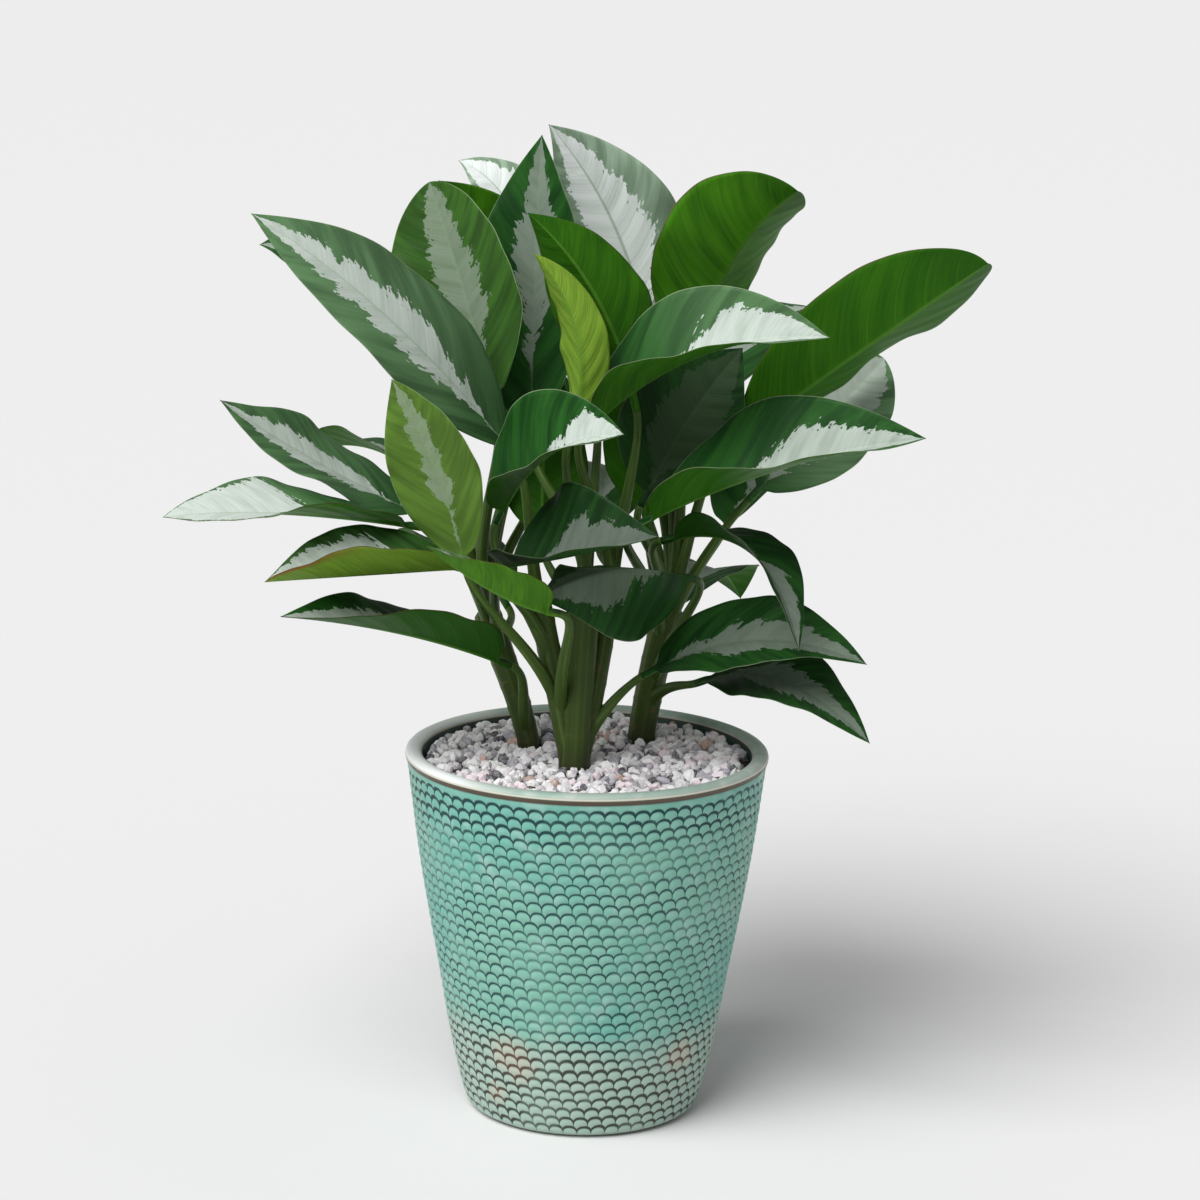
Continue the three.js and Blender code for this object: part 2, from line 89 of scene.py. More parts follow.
def spline(points, count):
    """Curve through points: between two of them a cubic whose end slopes come from the points on
    either side, spaced by the square root of their distance."""
    p = np.asarray(points, float)
    p = np.vstack([2 * p[0] - p[1], p, 2 * p[-1] - p[-2]])
    gap = np.sqrt(np.linalg.norm(np.diff(p, axis=0), axis=1))[:, None]
    step = np.diff(p, axis=0)
    slope = (step[:-1] / gap[:-1] - (step[:-1] + step[1:]) / (gap[:-1] + gap[1:])
             + step[1:] / gap[1:])
    x = np.linspace(0, len(points) - 1, count)
    k = np.minimum(x.astype(int), len(points) - 2)
    f = (x - k)[:, None]
    a, b = p[1 + k], p[2 + k]
    start, end = slope[k] * gap[1 + k], slope[1 + k] * gap[1 + k]
    return ((2 * f**3 - 3 * f**2 + 1) * a + (f**3 - 2 * f**2 + f) * start
            + (3 * f**2 - 2 * f**3) * b + (f**3 - f**2) * end)


def bezier(corners, t):
    """Point and direction at t of the cubic with four control points."""
    a, b, c, d = np.asarray(corners, float)
    t = np.asarray(t, float)[:, None]
    point = (1 - t)**3 * a + 3 * t * (1 - t)**2 * b + 3 * t * t * (1 - t) * c + t**3 * d
    speed = (1 - t)**2 * (b - a) + 2 * t * (1 - t) * (c - b) + t * t * (d - c)
    return point, unit(speed)


# Meshes


def ring_faces(rows, columns, first=0):
    """Quads between closed rings of points numbered ring by ring, and the ring and the unwrapped
    column of each corner. They face outwards when the rings turn anticlockwise round the way that
    the rows go."""
    row, column = [a.ravel() for a in np.mgrid[0:rows - 1, 0:columns]]
    corner_row = np.stack([row, row, row + 1, row + 1], 1)
    corner_column = np.stack([column, column + 1, column + 1, column], 1)
    return first + corner_row * columns + corner_column % columns, corner_row, corner_column


def caps(rows, columns, first=0):
    """One face over the first ring and one over the last."""
    ring = np.arange(columns)
    return [first + ring[::-1][None], first + ((rows - 1) * columns + ring)[None]]


def put_piece(name, points, faces, materials, nodes, kinds=None, marks=None, corners=None,
              smooth=True):
    """Makes a mesh piece that rides on the body and stands for CAD nodes.
    faces is a list of arrays, each with one face a row. kinds is the material of each face. marks
    are attributes with a value for each point, corners are maps with a value for each corner."""
    mesh = bpy.data.meshes.new(name)
    loops = np.concatenate([f.ravel() for f in faces])
    counts = np.concatenate([np.full(len(f), f.shape[1]) for f in faces])
    mesh.vertices.add(len(points))
    mesh.loops.add(len(loops))
    mesh.polygons.add(len(counts))
    mesh.vertices.foreach_set("co", (points * MM).astype(np.float32).ravel())
    mesh.loops.foreach_set("vertex_index", loops.astype(np.int32))
    mesh.polygons.foreach_set("loop_start", (np.cumsum(counts) - counts).astype(np.int32))
    if kinds is not None:
        mesh.polygons.foreach_set("material_index", np.asarray(kinds, np.int32))
    for key, value in (corners or {}).items():
        mesh.uv_layers.new(name=key).uv.foreach_set("vector", value.astype(np.float32).ravel())
    for key, value in (marks or {}).items():
        value = np.asarray(value, np.float32)
        form, field = ("FLOAT", "value") if value.ndim == 1 else ("FLOAT_VECTOR", "vector")
        mesh.attributes.new(key, form, "POINT").data.foreach_set(field, value.ravel())
    mesh.polygons.foreach_set("use_smooth", np.full(len(counts), smooth))
    mesh.update(calc_edges=True)
    if mesh.validate():
        raise RuntimeError(f"the mesh of {name} has faults")
    for material in materials:
        mesh.materials.append(material)
    piece = bpy.data.objects.new(name, mesh)
    bpy.context.scene.collection.objects.link(piece)
    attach(piece, "root")
    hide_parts(*nodes)
    return piece


# Materials


class Link:
    """A socket in an expression: each operator adds one Math node to the socket's tree."""

    def __init__(self, shader, socket):
        self.shader, self.socket = shader, socket

    def __add__(self, other):
        return self.shader.math("ADD", self, other)

    def __sub__(self, other):
        return self.shader.math("SUBTRACT", self, other)

    def __rsub__(self, other):
        return self.shader.math("SUBTRACT", other, self)

    def __mul__(self, other):
        return self.shader.math("MULTIPLY", self, other)

    def __truediv__(self, other):
        return self.shader.math("DIVIDE", self, other)

    def __pow__(self, other):
        return self.shader.math("POWER", self, other)

    __radd__, __rmul__ = __add__, __mul__


class Shader:
    """A new material and its nodes."""

    def __init__(self, name):
        self.material = bpy.data.materials.new(name)
        self.material.use_nodes = True
        self.tree = self.material.node_tree
        self.tree.nodes.clear()

    def node(self, kind, inputs=(), out=0, **settings):
        """A node of that kind: its settings are set first, then each input gets a value or a
        link. Gives its output number out."""
        made = self.tree.nodes.new("ShaderNode" + kind)
        for key, value in settings.items():
            setattr(made, key, value)
        for key, value in dict(inputs).items():
            if isinstance(value, Link):
                self.tree.links.new(value.socket, made.inputs[key])
            else:
                made.inputs[key].default_value = value
        return Link(self, made.outputs[out]) if made.outputs else None

    def math(self, operation, *values):
        """A Math node on numbers and links."""
        return self.node("Math", dict(enumerate(values)), operation=operation)

    def mark(self, name):
        """A number that the mesh holds for each point."""
        return self.node("Attribute", out="Fac", attribute_name=name)

    def tint(self, name):
        """Three numbers that the mesh holds for each point."""
        return self.node("Attribute", out="Vector", attribute_name=name)

    def axes(self, vector):
        return [self.node("SeparateXYZ", {0: vector}, out=axis) for axis in range(3)]

    def vector(self, x, y=0.0, z=0.0):
        return self.node("CombineXYZ", {0: x, 1: y, 2: z})

    def place(self):
        return self.node("TexCoord", out="Object")

    def noise(self, vector, scale, detail=2.0, roughness=0.5):
        """Noise about 0.5."""
        return self.node("TexNoise", {"Vector": vector, "Scale": scale, "Detail": detail,
                                      "Roughness": roughness})

    def ease(self, value, low, high, start=0.0, end=1.0):
        """start below low, end above high, and a smooth step between."""
        return self.node("MapRange", {0: value, 1: low, 2: high, 3: start, 4: end},
                         interpolation_type="SMOOTHSTEP")

    def blend(self, first, second, share):
        """Colour that goes from first to second with share."""
        first, second = [c if isinstance(c, Link) else (*c, 1) for c in (first, second)]
        return self.node("Mix", {0: share, 6: first, 7: second}, out=2, data_type="RGBA")

    def larger(self, first, second):
        return self.math("MAXIMUM", first, second)

    def above(self, value, limit):
        """1 where value is over limit, else 0."""
        return self.math("GREATER_THAN", value, limit)

    def size(self, value):
        """value without its sign."""
        return self.math("ABSOLUTE", value)

    def bump(self, height, distance, strength=1.0):
        return self.node("Bump", {"Height": height, "Distance": distance, "Strength": strength})

    def finish(self, colour, roughness, normal=None, **constants):
        """Joins the surface to the output and gives the material."""
        inputs = {"Base Color": colour if isinstance(colour, Link) else (*colour, 1),
                  "Roughness": roughness}
        inputs.update({key.replace("_", " "): value for key, value in constants.items()})
        if normal:
            inputs["Normal"] = normal
        surface = self.node("BsdfPrincipled", inputs)
        self.node("OutputMaterial", {0: surface})
        return self.material


# Pot

MOUTH_RADIUS = 109.0
THROAT_Z = 224.0
LIP_FOOT_Z = 238.5
FOOT_PROFILE = [(66, 0), (72, 0.6)]
BODY_PROFILE = [(66, 0), (75.5, 2.5), (78.8, 9), (82, 20), (89, 52), (96.4, 95), (103.8, 136),
                (111, 180), (118.4, LIP_FOOT_Z)]
LIP_PROFILE = [(118.4, LIP_FOOT_Z), (119.6, 239.2), (120, 241.1), (119.6, 242.8), (118.5, 244),
               (116.9, 244.8), (115, 245), (113, 244.8), (111.2, 244.1), (109.8, 243),
               (109.1, 241.6), (MOUTH_RADIUS, 239), (MOUTH_RADIUS, THROAT_Z)]
INSIDE_PROFILE = [(94.7, 130), (81, 52), (74, 18), (68, 12)]
COLUMNS = 456                    # six for each scale at the lip
STEPS_PER_ROW = 5
ROW_PITCH = 7.0
FIRST_ROW_Z = 7.0
FIRST_LINE = -0.6                # where the body's rings start, in rows
PROFILE_POINTS = 400
ROW_WAVER = 0.2                  # how far rows stray, in row pitches
WAVERS = 24                      # how many times they stray round the pot
WAVER_HEIGHT = 21                # and over what height
SCALE_HALF_WIDTH = 0.52          # of a scale, in scale pitches
SCALE_REACH = 1.12               # height of a scale's arc, in row pitches
CORNER = 2.5                     # power of the arc: 2 is an ellipse, more is squarer
NO_SCALE = 9.0                   # a distance that no scale reaches
FLAT = 0.6                       # distance up to which a crown is flat, and where none is
CROWN_DROP = 0.5                 # from there to the arc
CROWN_HOLLOW = 0.2               # at the foot of a scale
JOINT_DEPTH = 0.9
JOINT_REACH = 1.4                # distance from the scale's foot at which the joint ends
MEAN_RELIEF = 0.55               # the relief that leaves the body's radius as it is

COOL_GLAZE = (0.16, 0.43, 0.355)
MILKY_GLAZE = (0.27, 0.50, 0.43)
AGED_GLAZE = (0.40, 0.50, 0.43)
WORN_GLAZE = (0.47, 0.47, 0.38)
SHADED_GLAZE = (0.06, 0.19, 0.18)
AGED_JOINT = (0.045, 0.055, 0.045)
GREEN_LIP = (0.30, 0.42, 0.36)
PALE_LIP = (0.60, 0.63, 0.59)
# Painted light on the lip's left side
LIP_PAINTED_LIGHT = (0.88, 0.90, 0.90)
# Painted highlight along the lip's outer edge
LIP_PAINTED_HIGHLIGHT = (0.62, 0.58, 0.48)
BROWN_LINE = (0.10, 0.068, 0.045)
# Painted shade of the inside wall
INSIDE_PAINTED_SHADE = (0.07, 0.12, 0.11)
FOOT_GLAZE = (0.38, 0.44, 0.38)
FOOT_CLAY = (0.42, 0.33, 0.25)
AGED_FROM, AGED_TO = 104.0, 74.0         # heights between which the glaze turns pale and grey
WORN_SPOTS = [((-48, -76, 54), 24.0), ((-56, -64, 28), 15.0), ((66, -60, 54), 18.0)]


def body_radius(z):
    """Radius of the body at height z: the spline through the measured radii."""
    curve = spline(BODY_PROFILE, PROFILE_POINTS)
    return np.interp(z, curve[:, 1], curve[:, 0])


def scales_round(row, sizes):
    """How many scales a row has: a whole number, which grows evenly from foot to lip."""
    return np.floor(sizes.scales_low
                    + (sizes.scales_high - sizes.scales_low) * row / sizes.rows + 0.5)


def arc_distance(turn, y, row, sizes):
    """Distance from the foot of the nearest scale of a row, 1 on its arc: the sum of
    (dx / half width)^p + (dy / reach)^p, to the power 1/p. Rows are shifted by half a scale in
    turn. No scale lies above the last row."""
    x = turn * scales_round(row, sizes) + 0.5 * (row % 2)
    dx = np.abs(x - np.floor(x) - 0.5) / SCALE_HALF_WIDTH
    dy = np.abs(y - row) / SCALE_REACH
    return (dx**CORNER + dy**CORNER)**(1 / CORNER) + NO_SCALE * (row > sizes.rows - 0.5)


def relief(turn, y, sizes):
    """Height of the relief from 0 in a joint to 1 on a crown. The scale in front is the lowest
    whose arc holds the point; each tilts out towards its arc, and a joint runs just above it."""
    row = np.floor(y)
    front, back = arc_distance(turn, y, row - 1, sizes), arc_distance(turn, y, row, sizes)
    inside = front < 1
    held = np.where(inside, front, np.where(back < 1, back, FLAT))
    crown = 1 - CROWN_DROP * ease(held, FLAT, 1.02) - CROWN_HOLLOW * ease(held, 0.5, 0.1)
    joint = np.where(inside, 0, 1 - ease(front, 1, JOINT_REACH))
    joint = np.maximum(joint, np.where(inside | (back < 1), 0, 1 - ease(back, 1, JOINT_REACH)))
    return crown * (1 - JOINT_DEPTH * joint)


class PotSizes(bpy.types.PropertyGroup):
    """Sizes and colours of the pot."""
    rows: IntProperty(name="Rows", description="Rows of scales from foot to lip", default=32,
                      min=4, max=80)
    scales_high: IntProperty(name="Scales at the lip", default=76, min=8, max=200,
                             description="Scales round the pot in the highest row")
    scales_low: IntProperty(name="Scales at the foot", default=54, min=8, max=200,
                            description="Scales round the pot in the lowest row")
    rise: FloatProperty(name="Relief", description="How far a scale stands proud of its joint",
                        default=1.1 * MM, unit="LENGTH", min=0)
    glaze: FloatVectorProperty(name="Glaze", description="Glaze on the crowns of the scales",
                               subtype="COLOR", default=(0.205, 0.455, 0.360))
    joint: FloatVectorProperty(name="Joints", description="Glaze that pooled in the joints",
                               subtype="COLOR", default=(0.008, 0.052, 0.055))
    lip: FloatVectorProperty(name="Lip", description="Glaze of the plain lip",
                             subtype="COLOR", default=(0.38, 0.47, 0.41))
    clay: FloatVectorProperty(name="Clay", description="Clay that shows where the glaze is thin",
                              subtype="COLOR", default=(0.11, 0.066, 0.040))


def pot_shape(sizes):
    """Surface of revolution: radius and height go along the profile, foot, body, lip and inside,
    and the body's radius gains rise * relief. Rows waver with a smooth noise."""
    turn = np.arange(COLUMNS) / COLUMNS
    y = np.linspace(FIRST_LINE, sizes.rows + 1, (sizes.rows + 2) * STEPS_PER_ROW)
    z = FIRST_ROW_Z + ROW_PITCH * y
    angle = 2 * math.pi * turn
    low = np.array(FOOT_PROFILE)
    high = np.array(LIP_PROFILE + INSIDE_PROFILE)
    radius = np.concatenate([low[:, 0], body_radius(z), high[:, 0]])
    height = np.concatenate([low[:, 1], z, high[:, 1]])
    body = np.zeros(len(radius))
    body[len(low):len(low) + len(y)] = ease(z, 2, 5) * ease(z, LIP_FOOT_Z, LIP_FOOT_Z - 3)
    waver = ROW_WAVER * lattice_noise(turn[None] * WAVERS, height[:, None] / WAVER_HEIGHT, 5,
                                      wrap=WAVERS)
    lines = (height[:, None] - FIRST_ROW_Z) / ROW_PITCH + waver * body[:, None]
    rise = sizes.rise / MM * body[:, None] * (relief(turn[None], lines, sizes) - MEAN_RELIEF)
    reach = radius[:, None] + rise
    points = np.stack([reach * np.cos(angle), reach * np.sin(angle),
                       np.repeat(height[:, None], COLUMNS, 1)], -1)
    return points, lines, body


def pot_material(sizes):
    """Turquoise glaze, thin and pale on the crowns, dark where it pooled in the joints. The
    joints are the arcs of the relief, worked out again from the piece's map of turn and row."""
    s = Shader("pot glaze")
    place = s.place()
    turn, y, _ = s.axes(s.node("UVMap", uv_map="scales"))
    y = y * float(sizes.rows)
    body, inside = s.mark("body"), s.mark("inside")
    row = s.math("FLOOR", y)
    height = s.axes(place)[2] / MM

    def distance(row):
        count = s.math("FLOOR", row * ((sizes.scales_high - sizes.scales_low) / sizes.rows)
                       + (sizes.scales_low + 0.5))
        x = turn * count + s.math("FLOORED_MODULO", row, 2.0) * 0.5
        side = s.size(s.math("FRACT", x) - 0.5)
        dx = (side / SCALE_HALF_WIDTH) ** CORNER
        dy = (s.size(y - row) / SCALE_REACH) ** CORNER
        missing = s.above(row, sizes.rows - 0.5) * NO_SCALE
        return (dx + dy) ** (1 / CORNER) + missing, side

    (front, front_side), (back, back_side) = distance(row - 1.0), distance(row)
    outside = s.above(front, 1.0)
    further = outside * s.above(back, 1.0)
    aged = s.ease(height + s.noise(place, 16.0, 3.0, 0.6) * 40.0, AGED_FROM, AGED_TO)
    wide = s.noise(place, 70.0, 2.0) * 0.2 + s.ease(height, 205.0, 216.0, 1.04, 1.12) + aged * 0.08
    joint = s.larger(outside * s.ease(front, wide, wide + 0.12, 1.0, 0.0),
                     further * s.ease(back, wide, wide + 0.12, 1.0, 0.0))
    held = front_side * (1.0 - outside) + back_side * outside * (1.0 - further)
    joint = s.larger(joint, s.ease(held, 0.44, 0.49) * 0.85)

    # How strongly the joints are drawn: dark rows under the lip, softer half way, grey at the foot
    patches = s.noise(place, 24.0, 3.0, 0.6)
    drawn = (s.ease(height, 200.0, 216.0, 0.0, 0.3) + aged * 0.25
             + s.ease(patches, 0.36, 0.62, 0.55, 0.95))
    drawn = s.math("MINIMUM", drawn, 1.0)

    # Near the foot the glaze is worn in three places and many small ones
    spots = s.ease(s.noise(place, 11.0, 2.0), 0.64, 0.72) * s.ease(height, 70.0, 40.0)
    for centre, radius in WORN_SPOTS:
        offset = s.node("VectorMath", {0: place, 1: [c * MM for c in centre]}, out=1,
                        operation="DISTANCE")
        spots = s.larger(spots, s.ease(offset / MM + patches * 30.0 - 15.0, radius, radius * 0.45))

    glaze = s.blend(sizes.glaze, COOL_GLAZE, s.ease(s.noise(place, 9.0, 2.0), 0.4, 0.62))
    glaze = s.blend(glaze, MILKY_GLAZE, s.ease(s.noise(place, 90.0, 3.0), 0.45, 0.75))
    glaze = s.blend(glaze, AGED_GLAZE, aged * 0.8)
    glaze = s.blend(glaze, WORN_GLAZE, spots * 0.75)
    glaze = s.blend(glaze, SHADED_GLAZE, s.ease(front, 0.7, 1.0) * (1.0 - outside) * 0.35)
    line = s.blend(sizes.joint, AGED_JOINT, aged)
    line = s.blend(line, sizes.clay, spots)
    colour = s.blend(glaze, line, joint * drawn * body)

    # The plain parts: the lip's pale glaze, whiter on the left with painted light, the brown line at
    # its foot with a painted highlight above it, the painted shade of the inside and the bare foot
    lip = s.blend(sizes.lip, GREEN_LIP, s.ease(s.noise(place, 26.0, 3.0), 0.45, 0.66))
    lip = s.blend(lip, PALE_LIP, s.ease(s.noise(place, 70.0, 2.0), 0.5, 0.8) * 0.6)
    # Painted light: the lip whitens towards the left, the side the daylight comes from
    lip = s.blend(lip, LIP_PAINTED_LIGHT, s.ease(s.axes(place)[0] / MM, -45.0, -105.0))
    colour = s.blend(colour, lip, s.ease(height, 240.6, 241.6))
    # Painted highlight on the lip's outer bulge, above the brown line
    colour = s.blend(colour, LIP_PAINTED_HIGHLIGHT, s.ease(height, 240.9, 241.5)
                     * s.ease(height, 241.8, 242.6, 1.0, 0.0))
    colour = s.blend(colour, BROWN_LINE, s.ease(height, 236.8, 238.2)
                     * s.ease(height, 240.6, 241.4, 1.0, 0.0))
    # Painted shade on the inside wall and throat
    colour = s.blend(colour, INSIDE_PAINTED_SHADE, inside)
    colour = s.blend(colour, FOOT_GLAZE, s.ease(height, 3.2, 2.2))
    colour = s.blend(colour, FOOT_CLAY, s.ease(height, 0.6, 0.2))
    grain = s.noise(place, 900.0, 2.0) * 0.25 + s.noise(place, 150.0, 2.0)
    roughness = s.ease(s.noise(place, 80.0, 3.0), 0.35, 0.7, 0.35, 0.55) + joint * 0.15
    return s.finish(colour, roughness, s.bump(grain, 0.00035, 0.5), Coat_Weight=0.08,
                    Coat_Roughness=0.25, Specular_IOR_Level=0.3)


class BuildPot(bpy.types.Operator):
    """Build the glazed pot with its relief of scales"""
    bl_idname = "aglaonema.pot"
    bl_label = "Pot"

    def execute(self, context):
        sizes = context.scene.aglaonema_pot
        points, lines, body = pot_shape(sizes)
        faces, row, column = ring_faces(*points.shape[:2])
        # The map's turn runs on past the seam, where the waver of the rows is the same again
        scales = np.stack([column / COLUMNS, lines[row, column % COLUMNS] / sizes.rows], -1)
        inside = np.zeros(points.shape[:2])
        inside[-len(INSIDE_PROFILE) - 2:] = 1        # with the throat's two rings
        ends = caps(*points.shape[:2])
        blank = np.zeros((sum(f.size for f in ends), 2))
        put_piece("pot_glazed", points.reshape(-1, 3), [faces, *ends], [pot_material(sizes)],
                  ["pot"],
                  marks={"body": np.repeat(body, COLUMNS), "inside": inside.ravel()},
                  corners={"scales": np.vstack([scales.reshape(-1, 2), blank])})
        return {"FINISHED"}


# Filling

CANES = {
    "left": ([(-39, 25, 238), (-46, 32, 265), (-58, 38, 297), (-70, 40, 330)], (6.5, 9.5)),
    "centre": ([(-8, -30, 238), (-7, -25, 273), (-5, -18, 321), (-2, -12, 372)], (8.5, 11.5)),
    "centre_left": ([(-11, -29, 238), (-17, -25, 273), (-27, -21, 321), (-36, -22, 362)],
                    (6.5, 8)),
    "centre_right": ([(-5, -28, 238), (2, -19, 273), (10, -7, 321), (16, 2, 372)], (6.5, 6.5)),
    "right": ([(36, 47, 238), (40, 52, 265), (46, 58, 294), (55, 62, 330)], (8.5, 10.5)),
}
CANE_FOOT_Z = 205
BED_Z = 234.0
BED_EDGE = 108.2
BED_RADII = (BED_EDGE, BED_EDGE, 90, 70, 50, 30, 12)     # the first ring is the bed's lower edge
BED_DEPTH = 4.0
BED_SIDES = 96
LAYERS = [(234.6, 1.0, 0.95), (238.2, 1.1, 1.0)]         # height, pitch and room for each stone
DEEP_Z = 236.3                   # stones below this lie in the shade of the others
DEEP_SHADE = 0.16
SEAT_SPREAD = 1.1                # of the stones' heights in a layer
CANE_ROOM = 0.55                 # share of that room that a stone keeps from a cane
STONE_SEED = 11
STONE_PLANES = 9
LEAST_FACING = 0.25              # a plane cuts only the rays that face it by this cosine
GREATEST_REACH = 1.25            # of a ray, in mean half lengths
CUT_DEPTHS = (0.72, 1.0)         # how far out the planes lie, in mean half lengths
SHORTEST, LONGEST = (0.8, 0.65, 0.55), (1.25, 1.0, 0.8)  # stretch of a stone's three axes
SIZE_SPREAD = (0.75, 1.2)
TINT_SPREAD = (0.85, 1.15)
WHITEST = 0.97
BED_BUMPS = 0.6
SHARES = (0.44, 0.24, 0.13, 0.12, 0.015, 0.055)          # of the six kinds of stone
STONE_DUST = (0.9, 0.88, 0.86)
DARK_GRAIN = (0.16, 0.15, 0.17)
RUSTY_STONE = (0.62, 0.40, 0.33)
BLACK_STONE = (0.06, 0.06, 0.085)
BARK = (0.11, 0.07, 0.045)


class FillingSizes(bpy.types.PropertyGroup):
    """Sizes and colours of the gravel and the potting mix."""
    pitch: FloatProperty(name="Stone pitch", description="Distance between neighbouring stones",
                         default=7.2 * MM, unit="LENGTH", min=0.002)
    stone: FloatProperty(name="Stone size", description="Mean half length of a stone",
                         default=4.1 * MM, unit="LENGTH", min=0.001)
    pale: FloatVectorProperty(name="Pale stone", description="Colour of most stones",
                              subtype="COLOR", default=(0.95, 0.92, 0.95))
    soil: FloatVectorProperty(name="Potting mix", description="Bark and peat under the gravel",
                              subtype="COLOR", default=(0.035, 0.022, 0.014))


def stone_seats(pitch, z, keep, draws):
    """Places of one layer of stones: a triangular lattice of that pitch, each moved at random
    by up to a third of it, inside the pot and clear of the canes."""
    half = int(BED_EDGE / pitch) + 2
    i, j = [a.ravel() for a in np.mgrid[-half:half + 1, -half:half + 1]]
    seats = np.stack([(i + 0.5 * (j % 2)) * pitch, j * pitch * math.sqrt(0.75)], 1)
    seats += draws.uniform(-pitch / 3, pitch / 3, seats.shape)
    clear = np.hypot(*seats.T) < BED_EDGE - keep
    for path, (low, _) in CANES.values():
        clear &= np.hypot(*(seats - np.array(path[0][:2])).T) > low + keep * CANE_ROOM
    seats = seats[clear]
    return np.column_stack([seats, z + draws.uniform(-SEAT_SPREAD, SEAT_SPREAD, len(seats))])


def stone_shapes(seats, size, draws):
    """Crushed stones: the points of a cube's shell of 3 x 3 x 3 go out from the centre until the
    nearest of some random planes, then are stretched, turned at random and set on their seats."""
    shell = np.array([p for p in np.ndindex(3, 3, 3) if p != (1, 1, 1)]) - 1.0
    rays = unit(shell)
    planes = unit(draws.normal(size=(len(seats), STONE_PLANES, 3)))
    limits = draws.uniform(*CUT_DEPTHS, (len(seats), 1, STONE_PLANES))
    facing = np.einsum("vk,spk->svp", rays, planes)
    cut = limits / np.maximum(facing, LEAST_FACING)
    reach = np.min(np.where(facing > LEAST_FACING, cut, GREATEST_REACH), 2)
    stones = rays * np.minimum(reach, GREATEST_REACH)[..., None]
    stretch = draws.uniform(SHORTEST, LONGEST, (len(seats), 3))
    stones = stones * stretch[:, None] * size * draws.uniform(*SIZE_SPREAD, (len(seats), 1, 1))
    turn, _ = np.linalg.qr(draws.normal(size=(len(seats), 3, 3)))
    turn[np.linalg.det(turn) < 0] *= -1
    return seats[:, None] + np.einsum("svk,skl->svl", stones, turn), shell


def shell_faces(shell):
    """The 24 quads of a 3 x 3 x 3 cube's shell, anticlockwise seen from outside."""
    number = {tuple(p): k for k, p in enumerate(shell.astype(int))}
    faces = []
    for axis in range(3):
        for side in (-1, 1):
            for a in (-1, 0):
                for b in (-1, 0):
                    loop = [(a, b), (a + 1, b), (a + 1, b + 1), (a, b + 1)][::side]
                    corners = np.insert(np.array(loop), 0, side, 1)
                    faces.append([number[tuple(np.roll(c, axis))] for c in corners])
    return np.array(faces)


def stone_material():
    """Matt crushed stone: each stone's own tint with fine mottling and a few dark grains."""
    s = Shader("crushed stone")
    place = s.place()
    mottle = s.ease(s.noise(place, 420.0, 4.0, 0.65), 0.35, 0.7)
    colour = s.blend(s.tint("tint"), STONE_DUST, mottle * 0.35)
    colour = s.blend(colour, DARK_GRAIN, s.ease(s.noise(place, 900.0, 2.0), 0.68, 0.78) * 0.6)
    rough = s.noise(place, 1500.0, 3.0) + s.noise(place, 300.0, 2.0)
    return s.finish(colour, 0.75, s.bump(rough, 0.0005, 0.6))


def bed_material(sizes):
    """Dark bark and peat crumbs."""
    s = Shader("potting mix")
    place = s.place()
    crumbs = s.noise(place, 240.0, 4.0, 0.7)
    colour = s.blend(sizes.soil, BARK, s.ease(crumbs, 0.45, 0.75))
    return s.finish(colour, 0.9, s.bump(crumbs, 0.002, 0.8))


class BuildFilling(bpy.types.Operator):
    """Build the gravel stone by stone and finish the potting mix"""
    bl_idname = "aglaonema.filling"
    bl_label = "Gravel and potting mix"

    def execute(self, context):
        sizes = context.scene.aglaonema_filling
        draws = np.random.default_rng(STONE_SEED)
        pitch, size = sizes.pitch / MM, sizes.stone / MM
        seats = np.vstack([stone_seats(pitch * wider, z, size * room, draws)
                           for z, wider, room in LAYERS])
        stones, shell = stone_shapes(seats, size, draws)
        faces = shell_faces(shell)[None] + (np.arange(len(seats)) * len(shell))[:, None, None]
        pale = np.array(sizes.pale)
        kinds = np.array([pale, pale * 0.8, pale * (1.0, 0.86, 0.9), pale * (0.45, 0.45, 0.5),
                          RUSTY_STONE, BLACK_STONE])
        deep = np.where(seats[:, 2] < DEEP_Z, DEEP_SHADE, 1)[:, None]
        pick = draws.choice(len(kinds), len(seats), p=SHARES)
        tint = kinds[pick] * draws.uniform(*TINT_SPREAD, (len(seats), 1)) * deep
        put_piece("gravel_stones", stones.reshape(-1, 3), [faces.reshape(-1, 4)],
                  [stone_material()], ["gravel"], smooth=False,
                  marks={"tint": np.repeat(np.minimum(tint, WHITEST), len(shell), 0)})
        soil = bed_material(sizes)
        turn = np.linspace(0, 2 * math.pi, BED_SIDES, endpoint=False)
        radius = np.array(BED_RADII)[:, None]
        height = np.full(radius.shape, BED_Z)
        height[0] -= BED_DEPTH
        bumps = lattice_noise(radius / 4, turn[None] * 16 / math.pi, 3) * (height == BED_Z)
        bed = np.stack([radius * np.cos(turn), radius * np.sin(turn), height + bumps * BED_BUMPS], -1)
        quads, _, _ = ring_faces(*bed.shape[:2])
        put_piece("gravel_bed", bed.reshape(-1, 3), [quads, *caps(*bed.shape[:2])], [soil],
                  ["gravel"])
        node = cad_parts["potting_mix"]
        node.data.materials.clear()
        node.data.materials.append(soil)
        return {"FINISHED"}


# Leaves. Each row: cane, how far up the cane its petiole leaves, the blade's base, middle and tip,
# the way its upper face looks, its width, and for its left and right half the fold at the midrib
# and the curl out to the margin, in degrees. Then the twist from base to tip and the waves of the
# margin: height and phase. A blunt leaf ends with the exponent of its tip in place of FALL.

